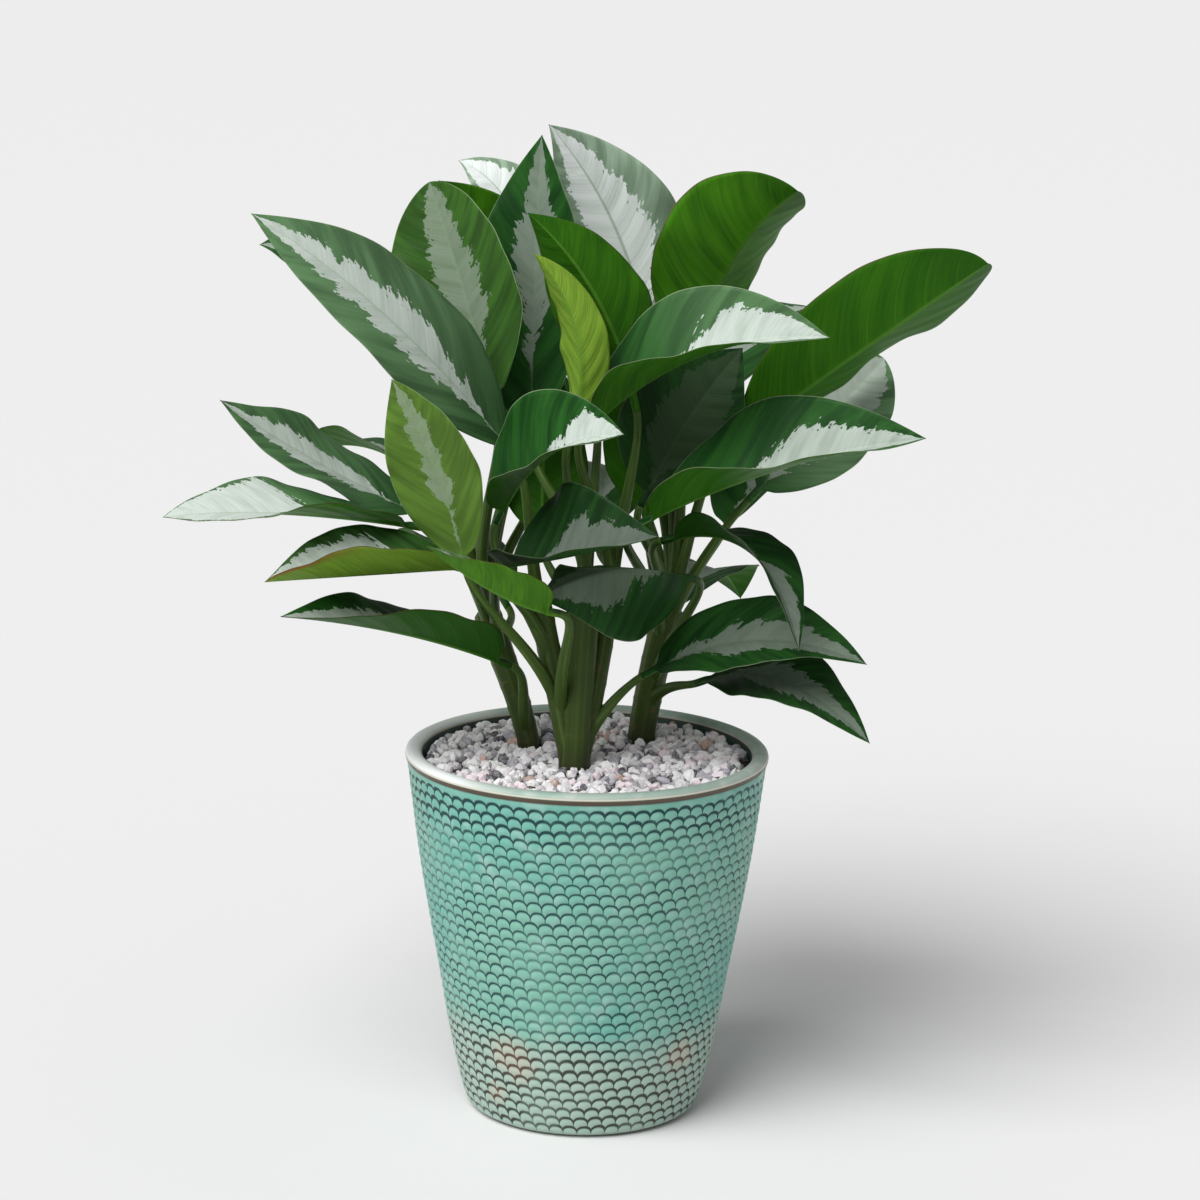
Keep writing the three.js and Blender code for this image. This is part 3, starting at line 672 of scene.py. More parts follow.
LEAVES = {
    "leaf_upper_left": ("centre_left", 0.9, (-56, -15, 449), (-131, -60, 538), (-213, -75, 602),
        (3, -8, 4), 78, (30, 12), (-14, -16), -20, (4, 0)),
    "leaf_left_upright": ("left", 1, (-65, 5, 475), (-86, 10, 549), (-108, 25, 613),
        (-3, -9, 2), 92, (8, 25), (0, 0), 0, (3, 1), 0.7),
    "leaf_left_behind": ("left", 0.95, (-44, 50, 492), (-70, 55, 562), (-103, 45, 612),
        (-2, 6, 6), 80, (10, 10), (10, 10), 0, (2, 0)),
    "leaf_crown": ("right", 1, (38, 80, 500), (12, 84, 580), (-32, 62, 648),
        (2, -9, 3), 90, (8, 10), (0, -10), 0, (3, 2)),
    "leaf_crown_left": ("centre", 0.95, (-40, 18, 453), (-39, 33, 556), (-36, 42, 643),
        (-3, -8, 1), 84, (10, 20), (0, 0), 0, (2, 0)),
    "leaf_back_pale": ("left", 0.9, (-34, 122, 512), (-56, 134, 582), (-94, 140, 616),
        (0, -5, 7), 64, (10, 10), (0, 0), 0, (2, 0)),
    "leaf_upper_right": ("right", 0.95, (66, 50, 500), (91, 42, 566), (130, 28, 611),
        (-3, 6, 3), 116, (25, 6), (15, 12), 0, (3, 0), 0.6),
    "leaf_far_right": ("right", 0.9, (99, 36, 450), (168, 2, 508), (248, -35, 574),
        (-1, 8, 3), 96, (40, 5), (10, 10), 0, (3, 1), 0.5),
    "leaf_centre_right": ("centre_right", 0.9, (2, -32, 468), (70, -55, 516), (147, -75, 531),
        (-2, -8, 7), 92, (18, 60), (0, 10), 50, (2, 0)),
    "leaf_centre_front": ("centre_left", 0.6, (-56, -60, 414), (-24, -80, 456), (20, -100, 472),
        (-3, -7, 5), 88, (10, 58), (5, 10), 40, (2, 0)),
    "leaf_young": ("centre", 0.9, (-13, -38, 462), (-10, -42, 524), (-38, -43, 576),
        (4, 9, 1), 38, (20, 20), (20, 20), 0, (1, 0), 0.9),
    "leaf_crown_under": ("centre_right", 0.95, (26, -4, 480), (0, -18, 548), (-43, -26, 600),
        (-3, 7, 5), 66, (15, 15), (15, 15), 0, (2, 0)),
    "leaf_shade_right": ("right", 0.95, (36, 18, 412), (64, 28, 462), (97, 30, 508),
        (0, -9, 4), 84, (10, 10), (0, 0), 0, (3, 0)),
    "leaf_right": ("right", 0.75, (38, -45, 408), (121, -75, 448), (208, -90, 471),
        (-1, -7, 7), 98, (15, 58), (0, 10), 50, (3, 0)),
    "leaf_right_behind": ("right", 0.8, (110, 44, 411), (152, 54, 456), (192, 60, 498),
        (0, -9, 4), 76, (10, 10), (0, 0), 0, (3, 2), 0.6),
    "leaf_left_high": ("left", 0.9, (-115, 22, 396), (-180, 8, 432), (-240, -10, 474),
        (1, -4, 9), 68, (15, 15), (-15, -15), -20, (4, 1)),
    "leaf_left_low": ("left", 0.7, (-116, -40, 400), (-198, -58, 410), (-270, -72, 409),
        (0, -3, 9), 76, (30, 10), (0, -10), -45, (2, 2)),
    "leaf_front_upright": ("centre_left", 0.45, (-80, -72, 385), (-101, -84, 453),
        (-125, -88, 502), (-3, -9, 2), 58, (10, 10), (0, 0), 0, (2, 0)),
    "leaf_low_left": ("left", 0.7, (-84, -50, 375), (-152, -75, 374), (-205, -80, 370),
        (0, -5, 8), 72, (60, 20), (20, 0), 0, (2, 1)),
    "leaf_lowest_left": ("left", 0.3, (-58, -25, 308), (-121, -60, 334), (-194, -90, 350),
        (0, -1, 9), 84, (32, 15), (10, 0), -36, (2, 0)),
    "leaf_front": ("centre_left", 0.7, (-52, -84, 384), (-10, -116, 398), (42, -135, 415),
        (-2, -7, 6), 98, (10, 60), (5, 10), 20, (2, 0)),
    "leaf_front_small": ("centre_left", 0.42, (-26, -106, 360), (-60, -130, 378),
        (-100, -142, 408), (0, -2, 9), 56, (52, 10), (5, 0), 0, (2, 0)),
    "leaf_front_low": ("right", 0.5, (64, -16, 364), (14, -74, 380), (-33, -98, 366),
        (1, -5, 8), 92, (-45, -35), (-10, 0), 0, (2, 1)),
    "leaf_right_drooping": ("right", 0.85, (54, -16, 390), (104, -55, 388), (133, -88, 333),
        (5, -5, 7), 54, (10, 40), (0, 0), 40, (2, 0)),
    "leaf_right_lower": ("centre_right", 0.28, (43, -20, 303), (109, -45, 330), (177, -75, 322),
        (0, -5, 8), 68, (15, 15), (0, 0), 0, (3, 0)),
    "leaf_right_lowest": ("right", 0.42, (78, 0, 292), (128, -40, 301), (181, -70, 269),
        (2, -5, 8), 62, (10, 10), (0, 0), 0, (3, 1)),
    "leaf_left_peeking": ("left", 1, (-125, 70, 500), (-175, 75, 548), (-222, 70, 565),
        (0, -5, 8), 60, (10, 10), (0, 0), 0, (2, 0)),
    "leaf_back_high": ("centre", 0.9, (2, 124, 462), (-6, 186, 522), (-14, 254, 506),
        (0, 5, 8), 86, (12, 12), (0, 0), 0, (3, 0)),
    "leaf_back_right_high": ("right", 0.95, (66, 100, 445), (118, 152, 508), (178, 205, 500),
        (3, 3, 8), 88, (12, 12), (0, 0), 0, (3, 2)),
    "leaf_back_left_high": ("left", 0.95, (-60, 98, 445), (-110, 150, 508), (-170, 198, 500),
        (-3, 3, 8), 86, (12, 12), (0, 0), 0, (3, 1)),
    "leaf_back_left": ("left", 0.85, (-85, 92, 372), (-148, 132, 418), (-212, 168, 400),
        (-1, 3, 9), 82, (12, 12), (0, 0), 0, (3, 0)),
    "leaf_back_right": ("right", 0.85, (92, 112, 372), (132, 165, 408), (168, 222, 388),
        (1, 3, 9), 84, (12, 12), (0, 0), 0, (3, 1)),
    "leaf_back": ("right", 0.8, (6, 122, 362), (8, 190, 398), (8, 256, 368),
        (0, 4, 9), 80, (12, 12), (0, 0), 0, (3, 2)),
    "leaf_back_right_low": ("right", 0.6, (56, 125, 310), (84, 180, 328), (108, 232, 296),
        (1, 3, 9), 74, (12, 12), (0, 0), 0, (3, 0)),
    "leaf_back_left_low": ("left", 0.7, (-60, 110, 320), (-102, 165, 346), (-145, 220, 318),
        (-1, 3, 9), 74, (12, 12), (0, 0), 0, (3, 1)),
    "leaf_inner": ("centre", 0.7, (-32, 32, 382), (-32, 54, 434), (-27, 62, 490),
        (0, 9, 3), 60, (10, 10), (0, 0), 0, (2, 0)),
    "leaf_inner_right": ("right", 0.75, (36, 40, 394), (31, 42, 448), (24, 46, 500),
        (1, 9, 2), 52, (10, 10), (0, 0), 0, (2, 1)),
    "leaf_back_top": ("right", 1, (16, 118, 510), (10, 160, 578), (2, 212, 600),
        (0, 5, 8), 80, (12, 12), (0, 0), 0, (3, 1)),
    "leaf_back_mid_right": ("right", 0.9, (34, 122, 420), (58, 186, 466), (84, 248, 448),
        (1, 4, 8), 80, (12, 12), (0, 0), 0, (3, 0)),
    "leaf_back_mid_left": ("left", 0.9, (-38, 118, 412), (-60, 182, 460), (-90, 240, 446),
        (-1, 4, 8), 80, (12, 12), (0, 0), 0, (3, 2)),
}
RISE = 0.72
FALL = 1.05
STALK_RADIUS = 2.6
STALK_LENGTH = 9.0
SHEATH_RADIUS = 4.6
SHEATH_SHARE = 0.77
RISE_HANDLE = 0.42
BEND_HANDLE = 0.22
GAP = 0.3
WAVES = 1.6
WAVE_SHIFT = 1.9
EDGE_WAVES = [(1.3, 2.7, 1, 2), (0.5, 5.9, 2, 3)]    # height, count, shift by leaf and by half
SWELL = 0.3
CROWDING = 1.15                  # above 1, columns stand closer at the midrib
HALF_THICKNESS = 0.28
MARGIN_THINNING = 0.16
GROOVE_DEPTH, GROOVE_REACH = 0.5, 1.3
MIDRIB_DROP, MIDRIB_REACH = 1.6, 1.5
LEAST_REACH = 0.35               # half width of a blade where its outline narrows to nothing
SMALLEST_BEND = 1e-4             # stands in for no curl, which would divide by nothing
STALK_ROWS = 4
VEINS = 9.0                      # side veins in each half
VEIN_SWEEP = (0.13, 0.1, 0.02)

BAND_GREEN = (0.026, 0.125, 0.017)
FINE_GREEN = (0.014, 0.080, 0.012)
BRIGHT_SHEEN = (0.06, 0.21, 0.015)
# Painted sheen of strong light, whiter than the green
WHITE_SHEEN_GREEN = (0.62, 0.74, 0.65)
SHADED_SILVER = (0.035, 0.095, 0.022)
WHITE_SILVER = (0.93, 0.98, 0.96)
VEIN_ON_GREEN, VEIN_ON_SILVER = (0.05, 0.19, 0.06), (0.36, 0.47, 0.38)
RIB_GREEN = (0.22, 0.36, 0.2)
PALE_MARGIN = (0.40, 0.48, 0.30)
UPPER_SHADE, LOWER_SHADE = (0.003, 0.010, 0.003), (0.004, 0.014, 0.003)
# Underside where no painted glow of light shines through
UNDER_UNLIT_GREEN = (0.018, 0.090, 0.003)
UNDER_BAND = (0.014, 0.085, 0.004)
UNDER_FINE = (0.10, 0.29, 0.012)
UNDER_TIP = (0.012, 0.07, 0.004)
UNDER_VEIN = (0.09, 0.24, 0.02)
UNDER_RIB = (0.10, 0.26, 0.03)
RUST = (0.22, 0.075, 0.022)
BROWN_MARGIN = (0.09, 0.05, 0.03)

# How a leaf looks where it differs: share of the half blade that is silver, where along the blade
# the silver starts, how yellow the leaf is (0.65 to 0.75 is an ageing one with a rusty margin),
# how pale its green is with painted sheen (below 0, how deep in painted shade it lies), and how
# white its silver is with painted light (low is painted shade; above 1, its green turns to a
# whiter painted sheen too)
PLAIN = (0.45, 0.12, 0.0, 0.04, 0.55)
HABITS = {
    "leaf_upper_left": (0.36, 0.06, 0.0, 0.5, 0.9),
    "leaf_left_upright": (0.34, 0.10, 0.12, 0.0, 0.3),
    "leaf_left_behind": (0.4, 0.2, 0.0, 0.8, 0.0),
    "leaf_crown": (0.50, 0.1, 0.0, 0.95, 1.5),
    "leaf_crown_left": (0.38, 0.2, 0.0, -0.1, 0.36),
    "leaf_crown_under": (0.4, 0.2, 0.0, 0.25, 0.5),
    "leaf_back_pale": (0.7, 0.1, 0.0, 1.0, 1.5),
    "leaf_upper_right": (0.2, 0.2, 0.0, 1.0, 0.0),
    "leaf_far_right": (0.2, 0.2, 0.0, 0.2, 0.0),
    "leaf_centre_right": (0.66, 0.36, 0.0, 0.4, 1.0),
    "leaf_centre_front": (0.7, 0.5, 0.0, 0.0, 1.0),
    "leaf_young": (0.0, 0.9, 0.9, 0.3, 0.5),
    "leaf_shade_right": (0.55, 0.05, 0.0, -0.6, 0.06),
    "leaf_right": (0.5, 0.3, 0.0, 0.04, 0.8),
    "leaf_right_behind": (0.6, 0.1, 0.0, 0.6, 0.6),
    "leaf_left_high": (0.38, 0.1, 0.0, 0.35, 0.85),
    "leaf_left_low": (0.9, 0.3, 0.0, 0.45, 1.0),
    "leaf_front_upright": (0.27, 0.1, 0.4, 0.06, 0.34),
    "leaf_low_left": (0.75, 0.1, 0.7, 0.1, 1.0),
    "leaf_lowest_left": (0.5, 0.1, 0.0, -0.2, 0.8),
    "leaf_front": (0.5, 0.25, 0.0, -0.6, 0.5),
    "leaf_front_small": (0.7, 0.5, 0.1, 0.7, 0.8),
    "leaf_front_low": (0.5, 0.2, 0.0, -0.3, 0.25),
    "leaf_right_drooping": (0.6, 0.5, 0.0, -0.45, 0.45),
    "leaf_right_lower": (0.45, 0.1, 0.0, -0.3, 0.35),
    "leaf_right_lowest": (0.42, 0.1, 0.0, -0.35, 0.35),
}


def read_leaf(name):
    """The leaf's row as named values, with places as arrays and angles in radians."""
    cane, node, base, middle, tip, face, width, fold, curl, twist, (wave, phase), *end = (
        LEAVES[name])
    base, middle, tip, face = [np.array(v, float) for v in (base, middle, tip, face)]
    return dict(name=name, cane=cane, node=node, base=base, tip=tip, face=face, width=width,
                control=2 * middle - (base + tip) / 2, fold=np.radians(fold),
                curl=np.radians(curl), twist=math.radians(twist), wave=wave, phase=phase,
                fall=end[0] if end else FALL, seed=sorted(LEAVES).index(name) + 1.0)


def outline(t, fall):
    """Share of the full width at t: t^RISE (1 - t)^fall over its own greatest value."""
    widest = RISE / (RISE + fall)
    t = np.clip(t, 0, 1)
    return t**RISE * (1 - t)**fall / (widest**RISE * (1 - widest)**fall)


def blade_frame(leaf, t):
    """Midrib, its direction, and the ways to the right and out of the upper face. The midrib is
    the parabola through base, middle and tip, run on straight behind the base. Right is
    direction x face, turned about the direction by twist * (t - 1/2)."""
    a, b, c = leaf["base"], leaf["control"], leaf["tip"]
    held = np.clip(t, 0, 1)[:, None]
    centre = (1 - held)**2 * a + 2 * held * (1 - held) * b + held**2 * c
    along = unit((1 - held) * (b - a) + held * (c - b))
    centre = centre + along * np.minimum(t, 0)[:, None] * np.linalg.norm(c - a)
    right = unit(np.cross(along, leaf["face"]))
    turn = leaf["twist"] * (held - 0.5)
    right = right * np.cos(turn) + np.cross(along, right) * np.sin(turn)
    return centre, along, right, np.cross(right, along)


def vein_place(span, rise, fall):
    """Where along the midrib the side vein through a point starts: veins sweep forward, more
    and more towards the margin."""
    sweep, curve, lead = VEIN_SWEEP
    reach = np.abs(span)
    return rise - outline(rise, fall) * (sweep * reach + curve * reach**2) - lead * reach


def blade_shape(leaf, rows, half):
    """A closed blade. Ring points: the upper face from left to right margin, then the lower face
    back. A half blade is an arc that leaves the midrib at the fold angle and bends by the curl:
    x = r (sin(fold + curl) - sin fold) / curl, y = r (cos fold - cos(fold + curl)) / curl.
    Over it lie the waves of the margin, soft swellings between the side veins, the groove of the
    midrib above and its keel below. Behind the base each ring becomes the round stalk."""
    length = np.linalg.norm(leaf["tip"] - leaf["base"])
    t = np.concatenate([np.linspace(-STALK_LENGTH / length, 0, STALK_ROWS)[:-1],
                        0.5 - 0.5 * np.cos(np.linspace(0, math.pi, rows))])
    share = np.linspace(-1, 1, 2 * half + 1)
    share = np.sign(share) * np.abs(share)**CROWDING
    centre, _, right, up = [a[:, None] for a in blade_frame(leaf, t)]
    rise, span = np.meshgrid(t, share, indexing="ij")
    hand, part = (span > 0).astype(int), np.abs(span)
    fold, bend = leaf["fold"][hand], leaf["curl"][hand] * part
    bend = np.where(np.abs(bend) < SMALLEST_BEND, SMALLEST_BEND, bend)
    width = outline(rise, leaf["fall"])
    reach = np.maximum(LEAST_REACH, leaf["width"] / 2 * width) * part
    x = reach * (np.sin(fold + bend) - np.sin(fold)) / bend
    y = reach * (np.cos(fold) - np.cos(fold + bend)) / bend
    slope = np.where(part > 0, fold + bend, 0)
    veins = vein_place(span, rise, leaf["fall"])
    middle = leaf["wave"] * part**2 * width * np.sin(
        2 * math.pi * WAVES * rise + leaf["phase"] + np.where(span < 0, WAVE_SHIFT, 0))
    for high, waves, by_leaf, by_half in EDGE_WAVES:
        middle += part**3 * width * high * np.sin(
            2 * math.pi * waves * rise + by_leaf * leaf["seed"] + by_half * hand)
    middle -= SWELL * np.cos(2 * math.pi * VEINS * veins) * np.sin(math.pi * part) * width
    groove = GROOVE_DEPTH * np.exp(-(reach / GROOVE_REACH)**2) * width
    keel = MIDRIB_DROP * (1 - rise) * np.exp(-(reach / MIDRIB_REACH)**2) * ease(rise, 0, 0.04)
    thick = HALF_THICKNESS - MARGIN_THINNING * part**3
    sign = np.where(span < 0, -1, 1)

    def face(lift):
        sideways = sign * (x - lift * np.sin(slope))
        return centre + sideways[..., None] * right + (y + lift * np.cos(slope))[..., None] * up

    blade = np.concatenate([face(middle + thick - groove),
                            face(middle - thick - keel)[:, ::-1]], 1)
    count = blade.shape[1]
    angle = math.pi * (1 - (2 * np.arange(count) + 1) / count)
    stalk = (centre + STALK_RADIUS * (np.cos(angle)[None, :, None] * right
                                      + np.sin(angle)[None, :, None] * up))
    share_blade = ease(t, -0.005, 0.05)[:, None, None]
    points = stalk * (1 - share_blade) + blade * share_blade
    both = [np.concatenate([a, a[:, ::-1]], 1) for a in (span, rise, veins)]
    return points, both


class LeafSizes(bpy.types.PropertyGroup):
    """Fineness and colours of the leaves."""
    rows: IntProperty(name="Rows", description="Rings of points along a blade", default=76,
                      min=12, max=200)
    half: IntProperty(name="Half columns", description="Columns of points in half a blade",
                      default=13, min=3, max=40)
    deep: FloatVectorProperty(name="Deep green", description="Green of the upper face",
                              subtype="COLOR", default=(0.009, 0.050, 0.009))
    # The green of the painted sheen on lit leaves
    sheen: FloatVectorProperty(name="Pale green", description="Green of leaves in full light",
                               subtype="COLOR", default=(0.22, 0.36, 0.20))
    silver: FloatVectorProperty(name="Silver", description="Middle band of the upper face",
                                subtype="COLOR", default=(0.60, 0.66, 0.61))
    under: FloatVectorProperty(name="Underside", description="Green of the lower face",
                               subtype="COLOR", default=(0.050, 0.20, 0.006))
    yellow: FloatVectorProperty(name="Yellow green", description="Young and ageing leaves",
                                subtype="COLOR", default=(0.25, 0.40, 0.045))


class LeafShader(Shader):
    """A leaf's material and the marks of its blade: signed share of the half width, share of the
    length, where the point's side vein starts, the leaf's habit, and its painted light and seed."""

    def __init__(self, name):
        super().__init__(name)
        self.span, self.rise, self.vein = [self.mark(key) for key in ("span", "rise", "vein")]
        self.silver, self.start, self.yellow = self.axes(self.tint("habit"))
        # pale is the leaf's painted sheen or painted shade, tone the painted light on its silver
        self.pale, self.seed, self.tone = self.axes(self.tint("light_and_seed"))
        self.part = self.size(self.span)
        self.side = self.above(self.span, 0.0) * 3.7 + self.seed * 5.3
        self.ageing = self.ease(self.yellow, 0.6, 0.65) * self.ease(self.yellow, 0.8, 0.75)
        self.shade = self.larger(self.pale * -1.0, 0.0)
        self.ridge = self.size(self.math("FRACT", self.vein * VEINS) - 0.5)

    def streaks(self, across, along, detail=2.0, shift=0.0):
        """Noise that is drawn out along the side veins, about 0.5."""
        place = self.vector(self.vein * across, self.part * along, self.side + shift)
        return self.noise(place, 1.0, detail)


def silver_mask(s):
    """1 on the silver band: where the share of the half width is under the band's width, moved by
    lobes, teeth, stray flecks of silver and stray flecks of green."""
    begun = s.rise - s.start
    band = s.silver * s.ease(begun, 0.0, 0.32, 0.12, 1.0) * s.ease(s.rise, 0.94, 1.0, 1.0, 0.6)
    lobes = (s.streaks(11.0, 0.8) - 0.5) * 0.5
    teeth = (s.streaks(40.0, 2.2, 3.0, 9.0) - 0.5) * 0.36
    inside = band + lobes + teeth - s.part
    flecks = s.ease(s.streaks(58.0, 11.0, 2.0, 21.0), 0.60, 0.66)
    inside = inside + flecks * s.ease(s.size(inside), 0.02, 0.16, 0.1, 0.0)
    flecks = s.ease(s.streaks(70.0, 13.0, 1.0, 40.0), 0.64, 0.69)
    inside = inside - flecks * s.ease(s.size(inside), 0.02, 0.2, 0.14, 0.0)
    return s.ease(inside, -0.008, 0.012) * s.ease(begun, -0.06, 0.02)


def upper_material(sizes):
    """Deep green, paler in bands along the side veins, with a silver middle band."""
    s = LeafShader("leaf upper face")
    mask = silver_mask(s)
    bands = s.ease(s.streaks(16.0, 0.7, 3.0, 3.0), 0.36, 0.66)
    fine = s.ease(s.streaks(90.0, 1.0, 2.0, 5.0), 0.4, 0.7)
    yellow = s.yellow * (1.0 - s.ageing * 0.9)

    green = s.blend(sizes.deep, BAND_GREEN, bands * 0.8)
    green = s.blend(green, FINE_GREEN, fine * 0.5)
    # Painted sheen of the light on the green: weaker towards the base, where painted shade lies, and
    # whiter still where tone is above 1
    sheen = s.blend(BRIGHT_SHEEN, sizes.sheen, s.tone * 2.0)
    light = s.ease(s.rise - s.start, -0.15, 0.3, 0.1, 1.0)
    green = s.blend(green, sheen, s.pale * light * (bands * 0.35 + 0.55))
    green = s.blend(green, WHITE_SHEEN_GREEN, (s.tone - 1.0) * (bands * 0.4 + 0.4))
    green = s.blend(green, sizes.yellow, yellow * (bands * 0.3 + 0.6))

    # The silver runs from painted shade to full light with tone, and is whiter with painted light
    # above 1
    silver = s.blend(SHADED_SILVER, sizes.silver, s.tone)
    silver = s.blend(silver, WHITE_SILVER, (s.tone - 1.0) * 2.0)
    silver = s.blend(silver, green, s.ease(s.streaks(20.0, 1.2, 2.0, 6.0), 0.4, 0.75) * 0.22)
    silver = s.blend(silver, green, fine * 0.1)
    silver = s.blend(silver, sizes.yellow, yellow * 0.45)
    colour = s.blend(green, silver, mask)

    lines = s.ease(s.ridge, 0.47, 0.5) * s.ease(s.part, 0.95, 0.6)
    vein = s.blend(VEIN_ON_GREEN, VEIN_ON_SILVER, mask)
    colour = s.blend(colour, vein, lines * (s.tone * 0.2 + 0.04))
    colour = s.blend(colour, RIB_GREEN, s.ease(s.part, 0.035, 0.008) * (s.tone * 0.3 + 0.1))
    colour = s.blend(colour, PALE_MARGIN, s.ease(s.part, 0.984, 0.996) * 0.55)
    colour = s.blend(colour, UPPER_SHADE, s.shade)
    rough = s.ease(bands, 0.0, 1.0, 0.42, 0.54) + mask * 0.08
    height = s.ridge * -0.5 + s.streaks(150.0, 30.0, 3.0, 8.0) * 0.12 + fine * 0.12
    return s.finish(colour, rough, s.bump(height, 0.0008, 0.55), Specular_IOR_Level=0.1)


def lower_material(sizes):
    """Green with a painted glow of the light that shines through it, bright on leaves with painted
    sheen and dark on the others, in bands along the side veins, with a raised midrib and a thin
    red-brown margin."""
    s = LeafShader("leaf lower face")
    bands = s.ease(s.streaks(13.0, 0.9, 3.0), 0.35, 0.68)
    fine = s.ease(s.streaks(80.0, 1.2, 2.0, 5.0), 0.38, 0.7)
    # Painted light: the underside glows brighter from the unlit green with the leaf's painted sheen
    green = s.blend(UNDER_UNLIT_GREEN, sizes.under, s.pale * 0.85 + 0.15)
    green = s.blend(green, UNDER_BAND, bands * 0.6)
    green = s.blend(green, UNDER_FINE, fine * (s.pale * 0.25 + 0.08))
    green = s.blend(green, UNDER_TIP, s.ease(s.rise, 0.75, 1.0) * 0.5)
    green = s.blend(green, sizes.yellow, s.yellow * (fine * 0.35 + 0.6))
    rust = s.ease(s.part, 0.7, 0.98) * s.ease(s.rise, 0.35, 0.85)
    green = s.blend(green, RUST, rust * s.ageing)
    lines = s.ease(s.ridge, 0.46, 0.5) * s.ease(s.part, 0.96, 0.6)
    colour = s.blend(green, UNDER_VEIN, lines * 0.2)
    colour = s.blend(colour, UNDER_RIB, s.ease(s.part, 0.05, 0.015) * 0.7)
    colour = s.blend(colour, BROWN_MARGIN, s.ease(s.part, 0.978, 0.992) * 0.8)
    colour = s.blend(colour, LOWER_SHADE, s.shade)
    height = s.ridge * 0.8 + fine * 0.2
    return s.finish(colour, 0.5, s.bump(height, 0.0008, 0.5), Specular_IOR_Level=0.07)


class BuildLeaves(bpy.types.Operator):
    """Build each leaf blade with its silver band and veins"""
    bl_idname = "aglaonema.leaves"
    bl_label = "Leaves"

    def execute(self, context):
        sizes = context.scene.aglaonema_leaves
        materials = [upper_material(sizes), lower_material(sizes)]
        for name in LEAVES:
            leaf = read_leaf(name)
            points, (span, rise, vein) = blade_shape(leaf, sizes.rows, sizes.half)
            rows, columns = points.shape[:2]
            faces, _, column = ring_faces(rows, columns)
            lower = (column[:, 0] >= columns // 2).astype(int)
            silver, start, yellow, pale, tone = HABITS.get(name, PLAIN)
            count = rows * columns
            put_piece(name + "_blade", points.reshape(-1, 3), [faces, *caps(rows, columns)],
                      materials, [name], kinds=np.append(lower, [1, 1]),
                      marks={"span": span.ravel(), "rise": rise.ravel(), "vein": vein.ravel(),
                             "habit": np.tile((silver, start, yellow), (count, 1)),
                             "light_and_seed": np.tile((pale, leaf["seed"], tone), (count, 1))})
        return {"FINISHED"}


# Stems


class StemSizes(bpy.types.PropertyGroup):
    """Colours of the canes and petioles."""
    green: FloatVectorProperty(name="Petiole green", description="Green of the petioles",
                               subtype="COLOR", default=(0.055, 0.115, 0.016))
    cane: FloatVectorProperty(name="Cane green", description="Darker green of the canes",
                              subtype="COLOR", default=(0.045, 0.078, 0.013))


PETIOLE_ROWS, PETIOLE_SIDES = 34, 14
CHANNEL = 0.16                   # depth of a petiole's channel, in radii
CANE_STEP, CANE_SIDES = 3, 24
RING_RISE, RINGS, RING_SHARE = 0.35, 9, 0.08
ROUNDED = 0.035                  # share of a cane that its rounded end takes
PALE_STREAK = (0.13, 0.20, 0.045)
DARK_STREAK = (0.018, 0.038, 0.008)
NEAR_GRAVEL = (0.035, 0.032, 0.015)
BROWN_SCAR = (0.16, 0.10, 0.05)


def cane_curve(name):
    """The cane's axis: the spline through its foot in the potting mix and its points."""
    path, _ = CANES[name]
    return spline([(*path[0][:2], CANE_FOOT_Z), *path], 200)


def at_share(curve, share):
    """Point and direction at a share of a curve's length."""
    steps = np.linalg.norm(np.diff(curve, axis=0), axis=1)
    run = np.concatenate([[0], np.cumsum(steps)]) / steps.sum()
    point = np.array([np.interp(share, run, curve[:, axis]) for axis in range(3)])
    k = np.clip(np.searchsorted(run, share), 1, len(curve) - 1)
    return point, unit(curve[k] - curve[k - 1])


def tube(centre, along, radius, sides, groove=0.0):
    """Rings round a path: centre + radius (cos a across + sin a up), where across is Y x along.
    The upper side is pressed in by groove, as a petiole's channel."""
    across = unit(np.cross((0.0, 1.0, 0.0), along))
    up = np.cross(along, across)
    angle = np.linspace(0, 2 * math.pi, sides, endpoint=False)
    press = 1 - groove * np.exp(-((angle - math.pi / 2) / 0.5)**2)
    reach = (np.asarray(radius)[:, None] * press)[..., None]
    return centre[:, None] + reach * (np.cos(angle)[:, None] * across[:, None]
                                      + np.sin(angle)[:, None] * up[:, None])


def petiole(leaf):
    """From the cane to the blade's stalk: a cubic that sets out between the cane's direction and
    the way to the blade, and arrives in line with the midrib. It thins from sheath to stalk."""
    start, away = at_share(cane_curve(leaf["cane"]), leaf["node"])
    _, along, _, _ = blade_frame(leaf, np.zeros(1))
    end = leaf["base"] - along[0] * (STALK_LENGTH + GAP)
    span = np.linalg.norm(end - start)
    lean = unit(unit(end - start) + away)
    t = np.linspace(0, 1, PETIOLE_ROWS)
    centre, direction = bezier([start, start + lean * span * RISE_HANDLE,
                                end - along[0] * span * BEND_HANDLE, end], t)
    radius = SHEATH_RADIUS + (STALK_RADIUS - SHEATH_RADIUS) * np.minimum(1, t / SHEATH_SHARE)
    return tube(centre, direction, radius, PETIOLE_SIDES, CHANNEL), t


def cane(name):
    """A cane with faint rings where old leaves sat, and its top end rounded off."""
    _, (low, high) = CANES[name]
    curve = cane_curve(name)[::CANE_STEP]
    t = np.linspace(0, 1, len(curve))
    rings = RING_RISE * np.exp(-((t * RINGS % 1 - 0.5) / RING_SHARE)**2)
    end = np.sqrt(np.clip((1 - t) / ROUNDED, 0.03, 1))
    radius = (low + (high - low) * t + rings) * end
    return tube(curve, unit(np.gradient(curve, axis=0)), radius, CANE_SIDES), t


